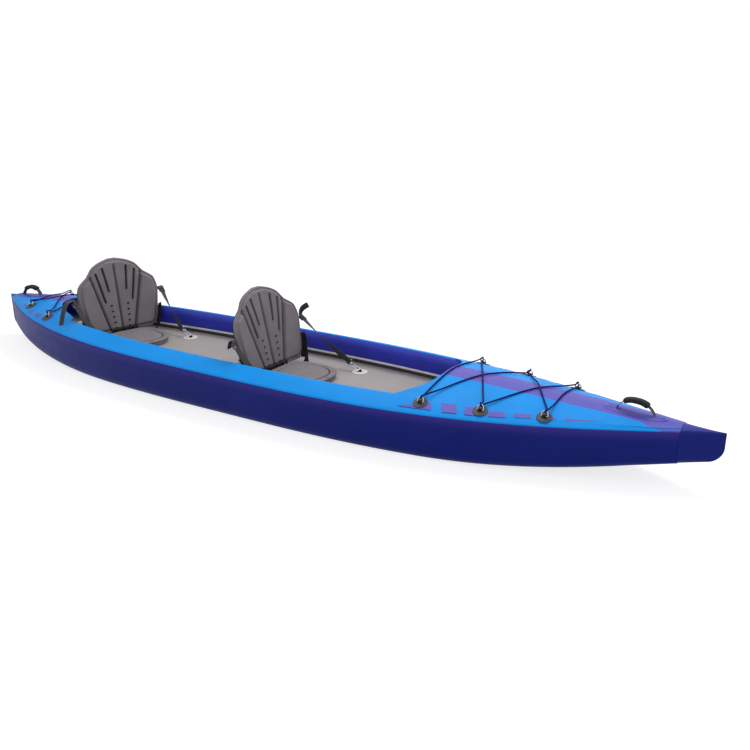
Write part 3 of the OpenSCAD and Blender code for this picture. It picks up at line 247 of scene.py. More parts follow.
def tube(route: Array, radius: float, sides: int, closed: bool) -> FlatMesh:
    """A round tube along a route.

    Args:
        route: the route's points.
        radius: the tube's radius.
        sides: points round the tube.
        closed: whether the route is a loop.

    Returns:
        The points, the faces, and each point's distance along and share round the tube.
    """
    s, u = frames_along(route, closed)
    a = round_angles(sides)
    rings = route[:, None] + radius * (s[:, None] * np.cos(a)[:, None] + u[:, None] * np.sin(a)[:, None])
    points, faces = loft(rings, closed)
    step = distance_along(route)
    flat = np.stack(np.meshgrid(step, a / (2 * math.pi), indexing="ij"), -1).reshape(-1, 2)
    return points, faces, flat


def band(route: Array, widths: Array, width: float, thickness: float) -> FlatMesh:
    """Flat webbing with soft edges along a route.

    Args:
        route: the middle line's points.
        widths: the direction of the width, one for all points or one for each.
        width: the webbing's width.
        thickness: the webbing's thickness.

    Returns:
        The points, the faces, and each point's distance along and across.
    """
    along = unit(np.gradient(route, axis=0))
    face = unit(np.cross(along, widths))
    wide = unit(np.cross(face, along))
    w, t = width / 2, thickness / 2
    soft, mid = t * 0.6, w * 0.5
    face_stops = [w - soft, mid, 0, -mid, soft - w]
    across = np.array(face_stops + [-w] + face_stops[::-1] + [w])
    off = np.array([t] * 5 + [0] + [-t] * 5 + [0])
    rings = route[:, None] + wide[:, None] * across[:, None] + face[:, None] * off[:, None]
    points, faces = loft(rings)
    step = distance_along(route)
    flat = np.stack(np.meshgrid(step, across, indexing="ij"), -1).reshape(-1, 2)
    return points, faces, flat


def stitches(route: Array, normal: Array, length: float, gap: float, proud: float) -> Mesh:
    """A row of raised thread dashes along a route.

    Args:
        route: the row's points.
        normal: the outward direction at each point.
        length: a dash's length.
        gap: the gap between dashes.
        proud: a dash's height and half width.

    Returns:
        The points and the faces.
    """
    step = distance_along(route)
    tip, sunk = 0.1, 0.4
    made = Parts()
    for start in np.arange(gap, step[-1] - length, length + gap):
        at = np.linspace(start, start + length, 4)
        line = np.stack([np.interp(at, step, route[:, k]) for k in range(3)], -1)
        up = unit(np.stack([np.interp(at, step, normal[:, k]) for k in range(3)], -1))
        side = unit(np.cross(unit(line[-1] - line[0]), up))
        lift = np.array([tip, 1, 1, tip])[:, None] * proud
        corners = (line - side * proud, line + up * lift, line + side * proud, line - up * proud * sunk)
        made.add(*loft(np.stack(corners, 1)))
    return made.mesh()


class Parts:
    """Gathers several bodies of one piece into one mesh."""

    def __init__(self) -> None:
        """Starts with nothing gathered."""
        self.points: list[Array] = []
        self.faces: list[tuple] = []
        self.flat: list[Array] = []
        self.count = 0

    def add(self, points: Array, faces: Sequence[tuple], flat: Optional[Array] = None) -> None:
        """Adds one body.

        Args:
            points: its points.
            faces: its faces.
            flat: each point's place on the flat material, if it has one.
        """
        self.points.append(np.asarray(points, float))
        self.faces += [tuple(self.count + k for k in f) for f in faces]
        self.flat.append(np.zeros((len(points), 2)) if flat is None else flat)
        self.count += len(points)

    def mesh(self) -> Mesh:
        """The points and the faces of all the bodies."""
        return np.vstack(self.points), self.faces


# Materials


def linear(colour: str) -> tuple[float, float, float, float]:
    """An sRGB hex colour as linear red, green, blue and full alpha."""
    parts = [int(colour[i:i + 2], 16) / 255 for i in (1, 3, 5)]
    return tuple(c / 12.92 if c <= 0.04045 else ((c + 0.055) / 1.055) ** 2.4 for c in parts) + (1.0,)


def add_node(tree: Tree, kind: str, inputs: Optional[dict] = None, **settings) -> bpy.types.Node:
    """Adds a shader node with its settings and links.

    Args:
        tree: the material's node tree.
        kind: the node's type, without ShaderNode before it.
        inputs: values or output sockets for the node's inputs, by name or number.
        **settings: the node's own properties.

    Returns:
        The node.
    """
    made = tree.nodes.new(f"ShaderNode{kind}")
    for name, value in settings.items():
        setattr(made, name, value)
    for key, value in (inputs or {}).items():
        if isinstance(value, Socket):
            tree.links.new(value, made.inputs[key])
        else:
            made.inputs[key].default_value = value
    return made


def per_metre(mm: float) -> float:
    """How many spans of some millimetres a metre holds."""
    return 1000 / mm


# Radians that a wave texture of scale 1 turns in a metre, with straight and with slanting bands
STRAIGHT_TURN = 20.0
SLANTING_TURN = 10.0


def wave_scale(pitch_mm: float, turn: float) -> float:
    """Scale of a wave texture whose bands lie a given pitch apart."""
    return per_metre(pitch_mm) * math.tau / turn


@dataclass(frozen=True)
class Finish:
    """A material: its name, colour and the record's slot, with a mottle and a grain of real size."""

    name: str
    colour: str
    slot: str
    roughness: float = 0.5
    tint: float = 0.1
    mottle_mm: float = 180.0
    grain_mm: float = 1.2
    grain_depth_mm: float = 0.1
    specular: float = 0.5
    wear: float = 0.08
    wear_share: float = 0.3
    bump: float = 0.6

    def material(self) -> bpy.types.Material:
        """The Blender material, made once."""
        made = bpy.data.materials.get(self.name)
        if made is None:
            made = bpy.data.materials.new(self.name)
            made.use_nodes = True
            tree = made.node_tree
            self.dress(tree, tree.nodes["Principled BSDF"])
        return made

    def place(self, tree: Tree) -> Socket:
        """The coordinates that the patterns follow, in metres."""
        return add_node(tree, "TexCoord").outputs["Object"]

    def base(self, tree: Tree, where: Socket) -> Socket:
        """The colour with a soft mottle.

        Args:
            tree: the node tree.
            where: the pattern's coordinates.

        Returns:
            The colour's socket.
        """
        mottle = {"Vector": where, "Scale": per_metre(self.mottle_mm), "Detail": 4.0}
        noise = add_node(tree, "TexNoise", mottle)
        tone = add_node(tree, "MapRange", {"Value": noise.outputs["Fac"], "From Min": 0.3, "From Max": 0.7,
                                           "To Min": 1 - self.tint, "To Max": 1 + self.tint})
        return add_node(tree, "VectorMath", {0: linear(self.colour)[:3], "Scale": tone.outputs["Result"]},
                        operation="SCALE").outputs["Vector"]

    def grain(self, tree: Tree, where: Socket) -> Socket:
        """The height of the surface's grain."""
        return add_node(tree, "TexVoronoi", {"Vector": where, "Scale": per_metre(self.grain_mm)}).outputs[0]

    def dress(self, tree: Tree, shader: bpy.types.Node) -> None:
        """Links colour, roughness and bump to the shader.

        Args:
            tree: the node tree.
            shader: its principled shader.
        """
        where = self.place(tree)
        tree.links.new(self.base(tree, where), shader.inputs["Base Color"])
        wear_scale = per_metre(self.mottle_mm * self.wear_share)
        wear = add_node(tree, "TexNoise", {"Vector": where, "Scale": wear_scale})
        rough = add_node(tree, "MapRange", {"Value": wear.outputs["Fac"],
                                            "To Min": self.roughness - self.wear,
                                            "To Max": self.roughness + self.wear})
        tree.links.new(rough.outputs["Result"], shader.inputs["Roughness"])
        bump = add_node(tree, "Bump", {"Height": self.grain(tree, where), "Strength": self.bump,
                                       "Distance": self.grain_depth_mm * MM})
        tree.links.new(bump.outputs["Normal"], shader.inputs["Normal"])
        shader.inputs["Specular IOR Level"].default_value = self.specular


@dataclass(frozen=True)
class CoatedFabric(Finish):
    """PVC-coated polyester: a satin skin with faint waves, longer than the threads of its base cloth.

    With a painted highlight colour, the skin turns to it where the mesh's edge value is high, standing in for
    light on the rounded top edges.
    """

    wave_mm: float = 8.796
    swell_depth: float = 12.0
    painted_highlight_colour: str = ""

    def base(self, tree: Tree, where: Socket) -> Socket:
        """The mottled colour, turned to the painted highlight colour along the edge.

        Args:
            tree: the node tree.
            where: the pattern's coordinates.

        Returns:
            The colour's socket.
        """
        plain = super().base(tree, where)
        if not self.painted_highlight_colour:
            return plain
        # Painted highlight: the edge value marks where light falls on the rounded top edges
        edge = add_node(tree, "Attribute", attribute_name="edge")
        mix = add_node(tree, "Mix", {"Factor": edge.outputs["Fac"], "A": plain,
                                     "B": linear(self.painted_highlight_colour)}, data_type="RGBA")
        return mix.outputs[2]

    def grain(self, tree: Tree, where: Socket) -> Socket:
        """Crossed waves of the base cloth, over slow swells of the filled skin.

        Args:
            tree: the node tree.
            where: the pattern's coordinates.

        Returns:
            The height's socket.
        """
        scale = wave_scale(self.wave_mm, STRAIGHT_TURN)
        waves = [add_node(tree, "TexWave", {"Vector": where, "Scale": scale, "Distortion": 0.3},
                          bands_direction=way) for way in ("X", "Z")]
        weave = add_node(tree, "Math", {0: waves[0].outputs["Fac"], 1: waves[1].outputs["Fac"]},
                         operation="MULTIPLY")
        slow = add_node(tree, "TexNoise", {"Vector": where, "Scale": 9.0, "Detail": 2.0})
        both = {0: slow.outputs["Fac"], 1: self.swell_depth, 2: weave.outputs["Value"]}
        return add_node(tree, "Math", both, operation="MULTIPLY_ADD").outputs["Value"]


@dataclass(frozen=True)
class MouldedFoam(Finish):
    """EVA foam pressed hot under a knit cover: dull and even, with painted shade in the pressed channels,
    slots and dimples.
    """

    # Painted shade: the colour of the recesses where shadow falls
    painted_groove_shade_colour: str = "#2c2a2f"

    def base(self, tree: Tree, where: Socket) -> Socket:
        """The mottled colour, darkened by painted shade where the mesh marks its channels, slots and dimples.

        Args:
            tree: the node tree.
            where: the pattern's coordinates.

        Returns:
            The colour's socket.
        """
        press = add_node(tree, "Attribute", attribute_name="press")
        mix = add_node(tree, "Mix", {"Factor": press.outputs["Fac"], "A": super().base(tree, where),
                                     "B": linear(self.painted_groove_shade_colour)}, data_type="RGBA")
        return mix.outputs[2]


@dataclass(frozen=True)
class Webbing(Finish):
    """Woven polyester webbing: slow slanting waves along it, and a dull sheen on the threads."""

    wave_mm: float = 37.7
    sheen: float = 0.1
    sheen_roughness: float = 0.5

    def place(self, tree: Tree) -> Socket:
        """The place on the flat webbing, along and across, in metres."""
        return add_node(tree, "UVMap", uv_map="flat").outputs["UV"]

    def grain(self, tree: Tree, where: Socket) -> Socket:
        """Waves of the weave, much longer than its real ribs."""
        scale = wave_scale(self.wave_mm, SLANTING_TURN)
        return add_node(tree, "TexWave", {"Vector": where, "Scale": scale, "Distortion": 0.4},
                        bands_direction="DIAGONAL").outputs["Fac"]

    def dress(self, tree: Tree, shader: bpy.types.Node) -> None:
        """Adds the threads' sheen to the usual links."""
        super().dress(tree, shader)
        shader.inputs["Sheen Weight"].default_value = self.sheen
        shader.inputs["Sheen Roughness"].default_value = self.sheen_roughness


@dataclass(frozen=True)
class Braid(Webbing):
    """Braided polyester sheath of a shock cord: slow waves that cross, in place of single strands."""

    wind: float = 0.019

    def grain(self, tree: Tree, where: Socket) -> Socket:
        """Waves that wind both ways round the cord.

        Args:
            tree: the node tree.
            where: the place along and round the cord.

        Returns:
            The height's socket.
        """
        both = []
        scale = wave_scale(self.wave_mm, SLANTING_TURN)
        for way in (1.0, -1.0):
            turned = add_node(tree, "Mapping", {"Vector": where, "Scale": (1.0, way * self.wind, 1.0)})
            both.append(add_node(tree, "TexWave", {"Vector": turned.outputs[0], "Scale": scale},
                                 bands_direction="DIAGONAL").outputs["Fac"])
        return add_node(tree, "Math", {0: both[0], 1: both[1]}, operation="MAXIMUM").outputs["Value"]


@dataclass(frozen=True)
class Metal(Finish):
    """Stainless steel wire, bent and tumbled bright: soft reflections with fine scuffs."""

    def dress(self, tree: Tree, shader: bpy.types.Node) -> None:
        """Makes the usual links on a metallic shader."""
        super().dress(tree, shader)
        shader.inputs["Metallic"].default_value = 1.0


# The hull's fabrics: satin coated polyester, bright on the crown, deep on the sides; the inner walls take the
# navy painted lighter, and the navy skins fade to a painted highlight along their top edges
LIGHT_BLUE = CoatedFabric("coated_polyester_light_blue", "#14a0ff", "light_blue_fabric", 0.45, 0.05,
                          specular=0.08)
# Outer sides: navy fading to a painted highlight colour along the rounded top edge
NAVY = CoatedFabric("coated_polyester_navy", "#172585", "navy_fabric", 0.45, 0.07, specular=0.12,
                    painted_highlight_colour="#3d379f")
# Inner walls: the same navy fabric painted a lighter royal blue for the light on them, fading to a painted
# highlight near the crest
ROYAL = CoatedFabric("coated_polyester_royal", "#343dc0", "navy_fabric", 0.42, 0.07, specular=0.25,
                     painted_highlight_colour="#5560e6")
VIOLET = CoatedFabric("coated_polyester_violet", "#5f5ac6", "violet_fabric", 0.45, 0.05, specular=0.25)
# Nose caps: navy fading to a painted highlight colour over the top
CAP_NAVY = CoatedFabric("coated_polyester_cap", "#1a2888", "violet_fabric", 0.45, 0.07, specular=0.14,
                        painted_highlight_colour="#4c47b6")
# The floor's fabric: the same coated polyester, matte and warm grey
FLOOR_GREY = CoatedFabric("coated_polyester_floor_grey", "#a8a2a0", "grey_floor_fabric", 0.6, 0.05,
                          specular=0.3)
# Welded PVC tape over the floor's seams, one grey tape painted as two: near white on the bead for the light
# along it, dark on the flange for the shadow under it
TAPE_PAINTED_LIGHT = Finish("welded_pvc_tape", "#f0eee8", "grey_tape", 0.5, 0.06, 60.0, 0.8, 0.03)
TAPE_PAINTED_SHADOW = Finish("welded_pvc_flange", "#3d3a39", "grey_tape", 0.6, 0.06, 60.0, 0.8, 0.03)
# Seats: hot-pressed EVA foam with a warm grey knit cover, with painted shade in its channels, slots, dimples
# and pad grooves
FOAM = MouldedFoam("moulded_eva_foam", "#837d81", "grey_foam", 0.7, 0.08, 90.0, 1.6, 0.12, 0.35)
# Backing, gussets and straps: black polyester, woven
BACKING = Finish("woven_polyester_backing", "#1d1d20", "black_webbing", 0.75, 0.12, 60.0, 1.2, 0.12, 0.3)
BLACK_WEBBING = Webbing("polyester_webbing_black", "#323235", "black_webbing", 0.68, 0.1, 40.0,
                        grain_depth_mm=0.3, specular=0.35)
THREAD = Finish("polyester_thread", "#4a4a4e", "black_webbing", 0.6, 0.1, 20.0, 0.6, 0.1)
# Shock cord: rubber core in a braided navy sheath
SHOCK_CORD = Braid("braided_cord_navy", "#0b1866", "navy_cord", 0.65, 0.1, 40.0, grain_depth_mm=0.15,
                   specular=0.1, sheen=0.0)
# Patches: moulded PVC discs, one dark and dull, one pale
DARK_PVC = Finish("moulded_pvc_dark", "#4b494c", "dark_patch", 0.6, 0.08, 30.0, 0.9, 0.05, 0.35)
PALE_PVC = Finish("moulded_pvc_pale", "#e2dfdb", "pale_patch", 0.5, 0.03, 40.0, 0.9, 0.04)
# Rings, hooks and gates: bright bent wire
STEEL = Metal("stainless_wire", "#b4b7bc", "steel", 0.26, 0.05, 14.0, 0.5, 0.01)
# Buckles and skeg box: acetal, moulded with a fine spark texture
BLACK_ACETAL = Finish("moulded_acetal_black", "#1f1f22", "black_plastic", 0.45, 0.08, 30.0, 0.5, 0.03)
# Valves: ABS bodies in grey, caps and stems in white
GREY_ABS = Finish("moulded_abs_grey", "#8d8b88", "grey_plastic", 0.42, 0.05, 30.0, 0.5, 0.02)
WHITE_ABS = Finish("moulded_abs_white", "#e9e7e3", "white_plastic", 0.35, 0.03, 30.0, 0.5, 0.02)


def make_piece(name: str, points: Array, faces: Sequence[tuple], finishes: Sequence[Finish], body: str,
               replaces: Sequence[str] = (), zones: Optional[Sequence[int]] = None,
               flat: Optional[Array] = None, values: Optional[dict[str, Array]] = None,
               rides: bool = True) -> bpy.types.Object:
    """Makes one mesh piece, dresses it and sets it on its body.

    Args:
        name: the piece's name.
        points: its points.
        faces: its faces.
        finishes: its finishes, the main one first.
        body: the body it rides on.
        replaces: the CAD nodes it stands for.
        zones: each face's finish, by number.
        flat: each point's place on the flat material, for woven finishes.
        values: named values for the points, which the finishes read.
        rides: whether it is set on its body now; if not, it is left unattached.

    Returns:
        The object.
    """
    mesh = bpy.data.meshes.new(name)
    mesh.from_pydata(np.asarray(points, float).tolist(), [], [tuple(int(k) for k in f) for f in faces])
    for key, value in (values or {}).items():
        mesh.attributes.new(key, "FLOAT", "POINT").data.foreach_set("value", np.asarray(value, np.float32))
    if flat is not None:
        corner = np.zeros(len(mesh.loops), np.int32)
        mesh.loops.foreach_get("vertex_index", corner)
        mesh.uv_layers.new(name="flat").data.foreach_set("uv", flat[corner].astype(np.float32).ravel())
    for finish in finishes:
        mesh.materials.append(finish.material())
    if zones is not None:
        mesh.polygons.foreach_set("material_index", np.asarray(zones, np.int32))
    mesh.polygons.foreach_set("use_smooth", np.ones(len(mesh.polygons), bool))
    mesh.validate()
    mesh.update()
    made = bpy.data.objects.new(name, mesh)
    bpy.context.scene.collection.objects.link(made)
    turn_out(made)
    if replaces:
        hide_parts(*replaces)
    if rides:
        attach(made, body)
    LOG.info("%s: %d points", name, len(points))
    return made


def turn_out(made: bpy.types.Object, sharp: float = math.radians(50)) -> None:
    """Turns every face outward, and keeps edges past the sharp angle sharp.

    Args:
        made: the object.
        sharp: the sharp angle, in radians.
    """
    bpy.context.view_layer.objects.active = made
    made.select_set(True)
    bpy.ops.object.mode_set(mode="EDIT")
    bpy.ops.mesh.select_all(action="SELECT")
    bpy.ops.mesh.normals_make_consistent(inside=False)
    bpy.ops.object.mode_set(mode="OBJECT")
    made.data.set_sharp_from_angle(angle=sharp)
    made.select_set(False)


# The hull


@dataclass(frozen=True)
class HullForm:
    """Plan, profile and crown of the hull."""

    half_length: float = 2.365
    half_beam: float = 0.487
    edge_height: float = 0.234
    sheer: Pair = (0.046, 0.042)
    rocker: Pair = (0.150, 0.079)
    fullness: Pair = (2.72, 3.35)
    taper: Pair = (1.263, 0.985)
    flat_share: float = 0.45
    crown_height: float = 0.111
    crown_power: float = 1.7
    side_thickness: float = 0.138
    side_flare: float = 0.042
    floor_thickness: float = 0.140
    bond_gap: float = 0.0004
    lay_gap: float = 0.0008
    deck_thickness: float = 0.003

    @property
    def sheet_offset(self) -> float:
        """Height of a deck's upper face above the crowned top."""
        return self.lay_gap + self.deck_thickness

    def pick(self, x: Array, pair: Pair) -> Array:
        """The bow's or the stern's value at each place."""
        return np.where(np.asarray(x) > 0, pair[0], pair[1])

    def share(self, x: Array) -> Array:
        """Distance from the middle as a share of the half length."""
        return np.minimum(1, np.abs(x) / self.half_length)

    def half(self, x: Array) -> Array:
        """Half width at the outer edge."""
        inner = np.maximum(0, 1 - self.share(x) ** self.pick(x, self.fullness))
        return self.half_beam * inner ** self.pick(x, self.taper)

    def edge_z(self, x: Array) -> Array:
        """Height of the outer top edge."""
        return self.edge_height + self.pick(x, self.sheer) * self.share(x) ** 3

    def keel_z(self, x: Array) -> Array:
        """Height of the bottom."""
        past = np.maximum(0, self.share(x) - self.flat_share) / (1 - self.flat_share)
        return self.pick(x, self.rocker) * past**2

    def top_z(self, x: Array, y: Array) -> Array:
        """Height of the crowned top.

        Args:
            x: place along the hull.
            y: place across the hull.

        Returns:
            The height.
        """
        half = np.maximum(self.half(x), 0.001)
        out = np.minimum(1, np.abs(y) / half)
        rise = self.crown_height * self.half(x) / self.half_beam * (1 - out**self.crown_power)
        return self.edge_z(x) + rise

    def inner_y(self, x: Array) -> Array:
        """Half width inside the side chambers."""
        return np.maximum(self.half(x) - self.side_thickness, self.bond_gap / 2)

    def floor_top(self, x: Array) -> Array:
        """Height of the floor."""
        return self.keel_z(x) + self.floor_thickness

    def top_frame(self, x: float, y: float, lift: float) -> tuple[Array, Array, Array, Array]:
        """Directions along, across and off the crowned top, and a place above it.

        Args:
            x: place along the hull.
            y: place across the hull.
            lift: height above the skin.

        Returns:
            The three directions and the place.
        """
        step = 0.004
        slope_x = float(self.top_z(x + step, y) - self.top_z(x - step, y)) / (2 * step)
        slope_y = float(self.top_z(x, y + step) - self.top_z(x, y - step)) / (2 * step)
        up, along = unit(np.array([-slope_x, -slope_y, 1])), unit(np.array([1, 0, slope_x]))
        return along, np.cross(up, along), up, np.array([x, y, float(self.top_z(x, y))]) + up * lift


FORM = HullForm()
BOW_CAP_X = 2.185
STERN_CAP_X = -2.295
# The hole for a valve's body, and how far its cutter stands out of the skin
VALVE_HOLE_R = 0.0205
VALVE_HOLE_DEPTH = 0.034
CUTTER_OUT = 0.009


def corner(before: Array, p: Array, after: Array, radius: float, steps: int) -> Array:
    """A rounded corner between two neighbours.

    Args:
        before: the point before the corner.
        p: the corner.
        after: the point after it.
        radius: how far the rounding reaches.
        steps: spans in the rounding.

    Returns:
        The rounding's points.
    """
    reach_a, reach_b = (min(radius, 0.45 * np.linalg.norm(q - p)) for q in (before, after))
    a, b = p + unit(before - p) * reach_a, p + unit(after - p) * reach_b
    t = np.linspace(0, 1, steps + 1)[:, None]
    return a * (1 - t) ** 2 + p * 2 * t * (1 - t) + b * t**2


def fill(a: Array, b: Array, count: int) -> Array:
    """Points on the way from a to b, without the ends."""
    t = np.linspace(0, 1, count + 2)[1:-1, None]
    return a * (1 - t) + b * t


def cut_valve_hole(made: bpy.types.Object, at: Array, axis: Array) -> None:
    """Cuts a valve's round hole into a piece.

    Args:
        made: the piece.
        at: the hole's mouth.
        axis: its outward direction.
    """
    route = at + np.linspace(-VALVE_HOLE_DEPTH, CUTTER_OUT, 3)[:, None] * axis
    points, faces, _ = tube(route, VALVE_HOLE_R, 48, False)
    mesh = bpy.data.meshes.new("cutter")
    mesh.from_pydata(points.tolist(), [], faces)
    mesh.materials.append(made.data.materials[0])
    cutter = bpy.data.objects.new("cutter", mesh)
    bpy.context.scene.collection.objects.link(cutter)
    turn_out(cutter)
    change = made.modifiers.new("hole", "BOOLEAN")
    change.object, change.operation, change.solver = cutter, "DIFFERENCE", "EXACT"
    bpy.context.view_layer.objects.active = made
    bpy.ops.object.modifier_apply(modifier=change.name)
    bpy.data.objects.remove(cutter)


@dataclass
class SideChamber:
    """One filled side chamber: light blue over its crown, navy outside and the navy painted lighter inside,
    with painted highlights along its top edges.
    """

    side: Side
    stations: int = 180
    chine_r: float = 0.060
    edge_r: float = 0.024
    crest_r: float = 0.042
    inner_r: float = 0.010
    # Painted highlight: how far it reaches from the top edges, and how strong it is on the inner wall
    painted_highlight_reach: float = 0.055
    inner_painted_highlight: float = 0.7
    crown_span: Pair = (0.25, 0.75)
    seam_step: int = 6
    crest_seam_step: int = 4
    wall_fill: float = 0.010
    fill_foot: float = 0.034
    fill_head: float = 0.012
    valve_flat: float = 0.06
    valve_fade: float = 0.14
    end_flat: float = 0.06
    end_fade: float = 0.1
    blue_end: Pair = (2.0, 2.12)
    blue_strip: float = 0.034
    valve_x: float = -1.5
    valve_z: float = 0.215

    def section(self, x: float) -> tuple[Array, Array, Array]:
        """One section of the chamber.

        Args:
            x: place along the hull.

        Returns:
            The ring's points, its zones and its edge values.
        """
        h, w, low = float(FORM.half(x)), float(FORM.inner_y(x)), float(FORM.keel_z(x))
        flare = FORM.side_flare * h / FORM.half_beam
        crown_y = h + (w - h) * np.linspace(*self.crown_span, 7)
        crown = np.stack([crown_y, FORM.top_z(x, crown_y)], -1)
        foot, edge = np.array([h - flare, low]), np.array([h, float(FORM.edge_z(x))])
        crest, inner = np.array([w, float(FORM.top_z(x, w))]), np.array([w, low])
        chine = corner(inner, foot, edge, self.chine_r, 8)
        rim = corner(foot, edge, crown[0], self.edge_r, 10)
        crest_round = corner(crown[-1], crest, inner, self.crest_r, 10)
        base = corner(crest, inner, foot, self.inner_r, 3)
        outer_wall, inner_wall = fill(chine[-1], rim[0], 7), fill(crest_round[-1], base[0], 14)
        bottom = fill(base[-1], chine[0], 4)
        ring = np.vstack([chine, outer_wall, rim, crown, crest_round, inner_wall, base, bottom])
        at = np.arange(len(ring))
        rim_at, base_at = len(chine) + len(outer_wall), len(ring) - len(base) - len(bottom)
        crest_at = rim_at + len(rim) + len(crown)
        seam, crest_seam = rim_at + self.seam_step, crest_at + self.crest_seam_step
        floor, top = float(FORM.floor_top(x)) + self.fill_foot, float(crest[1]) - self.fill_head
        rise = np.clip((ring[:, 1] - floor) / max(top - floor, 0.001), 0, 1) * (at > crest_at)
        by_valve = smooth((abs(x - self.valve_x) - self.valve_flat) / self.valve_fade)
        by_end = smooth((w - self.end_flat) / self.end_fade)
        ring[:, 0] -= self.wall_fill * float(by_valve * by_end) * np.sin(math.pi * rise)
        zones = np.full(len(ring), int(Skin.NAVY))
        zones[seam:crest_seam] = Skin.LIGHT_BLUE
        # The inner wall takes the navy painted lighter, for the light on it
        zones[crest_seam:base_at + 1] = Skin.ROYAL
        # Painted highlight: the edge value fades down the side from the outer seam and down the inner wall
        # from the crest seam
        runs = [np.linalg.norm(ring - ring[k], axis=1) for k in (seam, crest_seam)]
        near = [smooth(1 - run / self.painted_highlight_reach) for run in runs]
        glow = np.where(at <= seam, near[0], 0)
        glow = np.where(at >= crest_seam, self.inner_painted_highlight * near[1], glow)
        glow[base_at:] = 0
        return np.column_stack([np.full(len(ring), x), ring[:, 0] * self.side.value, ring[:, 1]]), zones, glow

    def build(self) -> None:
        """Makes the chamber's skin and lets its valve in."""
        name = f"{self.side.name.lower()}_side_chamber"
        xs = np.linspace(STERN_CAP_X + FORM.bond_gap, BOW_CAP_X - FORM.bond_gap, self.stations)
        made = [self.section(x) for x in xs]
        points, faces = loft(np.array([m[0] for m in made]))
        ring = made[0][1]
        zones = []
        for x, m in zip(xs[:-1], made):
            strip = self.blue_strip * np.interp(x, self.blue_end, (1, 0))
            inside = np.abs(m[0][:, 1]) < float(FORM.half(x)) - strip
            violet = (ring == Skin.LIGHT_BLUE) & inside & (x > self.blue_end[0])
            zones += list(np.where(violet, int(Skin.VIOLET), ring))
        # The edge values carry the painted highlights
        skin = make_piece(f"{name}_skin", points, faces, (NAVY, LIGHT_BLUE, VIOLET, ROYAL), HULL, (name,),
                          zones + [Skin.NAVY] * 2, values={"edge": np.concatenate([m[2] for m in made])})
        axis = unit(np.array([slope_at(FORM.inner_y, self.valve_x), -1, 0])) * self.side.flip
        at = np.array([self.valve_x, self.side.value * float(FORM.inner_y(self.valve_x)), self.valve_z])
        cut_valve_hole(skin, at, axis)


@dataclass
class FloorChamber:
    """The drop-stitch floor and the welded tapes along its sides."""

    stations: int = 120
    edge_r: float = 0.008
    valve_x: float = -1.668
    tape_span: Pair = (-1.800, 1.200)
    tape_gap: float = 0.0009
    tape_height: float = 0.030
    tape_stations: int = 110
    tape_up: tuple[float, ...] = (0, 0.1, 0.5, 0.58, 0.66, 0.86, 1.0, 1.0, 0.5, 0)
    tape_out_mm: tuple[float, ...] = (1.6, 2.0, 1.6, 1.4, 4.2, 3.2, 0.5, 0, 0, 0)
    painted_shadow_points: int = 4

    def section(self, x: float) -> Array:
        """One section of the floor.

        Args:
            x: place along the hull.

        Returns:
            The ring's points.
        """
        w, low, high = float(FORM.inner_y(x)) - FORM.bond_gap, float(FORM.keel_z(x)), float(FORM.floor_top(x))
        stops = [np.array(p) for p in ((w, low), (w, high), (-w, high), (-w, low))]
        parts = []
        for i in range(4):
            parts.append(corner(stops[i - 1], stops[i], stops[(i + 1) % 4], self.edge_r, 5))
            after = corner(stops[i], stops[(i + 1) % 4], stops[(i + 2) % 4], self.edge_r, 5)
            parts.append(fill(parts[-1][-1], after[0], (3, 15)[i % 2]))
        ring = np.vstack(parts)
        return np.column_stack([np.full(len(ring), x), ring])

    def build(self) -> None:
        """Makes the floor with its valve hole, and its tapes."""
        lo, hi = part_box("floor_chamber")
        xs = np.linspace(lo.x, hi.x, self.stations)
        points, faces = loft(np.array([self.section(x) for x in xs]))
        skin = make_piece("floor_skin", points, faces, (FLOOR_GREY,), HULL, ("floor_chamber",))
        slope = slope_at(FORM.floor_top, self.valve_x)
        at = np.array([self.valve_x, 0, float(FORM.floor_top(self.valve_x))])
        cut_valve_hole(skin, at, unit(np.array([-slope, 0, 1])))
        self.build_tapes()

    def build_tapes(self) -> None:
        """Makes a tape along each side, with a painted highlight on its bead over a flange painted dark for
        shadow.
        """
        up, out = np.array(self.tape_up), np.array(self.tape_out_mm) * MM
        tapes = Parts()
        for side in Side:
            rings = []
            for x in np.linspace(*self.tape_span, self.tape_stations):
                y, low = float(FORM.inner_y(x)) - self.tape_gap, float(FORM.floor_top(x)) + FORM.bond_gap
                z = low + up * self.tape_height
                rings.append(np.column_stack([np.full(len(up), x), side.value * (y - out), z]))
            tapes.add(*loft(np.array(rings)))
        # Faces low on the profile take the painted shadow, the rest the painted highlight
        zones = [int(len(f) == 4 and max(k % len(up) for k in f) < self.painted_shadow_points) for f in tapes.faces]
        make_piece("floor_seam_tape_strips", *tapes.mesh(), (TAPE_PAINTED_LIGHT, TAPE_PAINTED_SHADOW), HULL,
                   ("floor_seam_tapes",), zones)


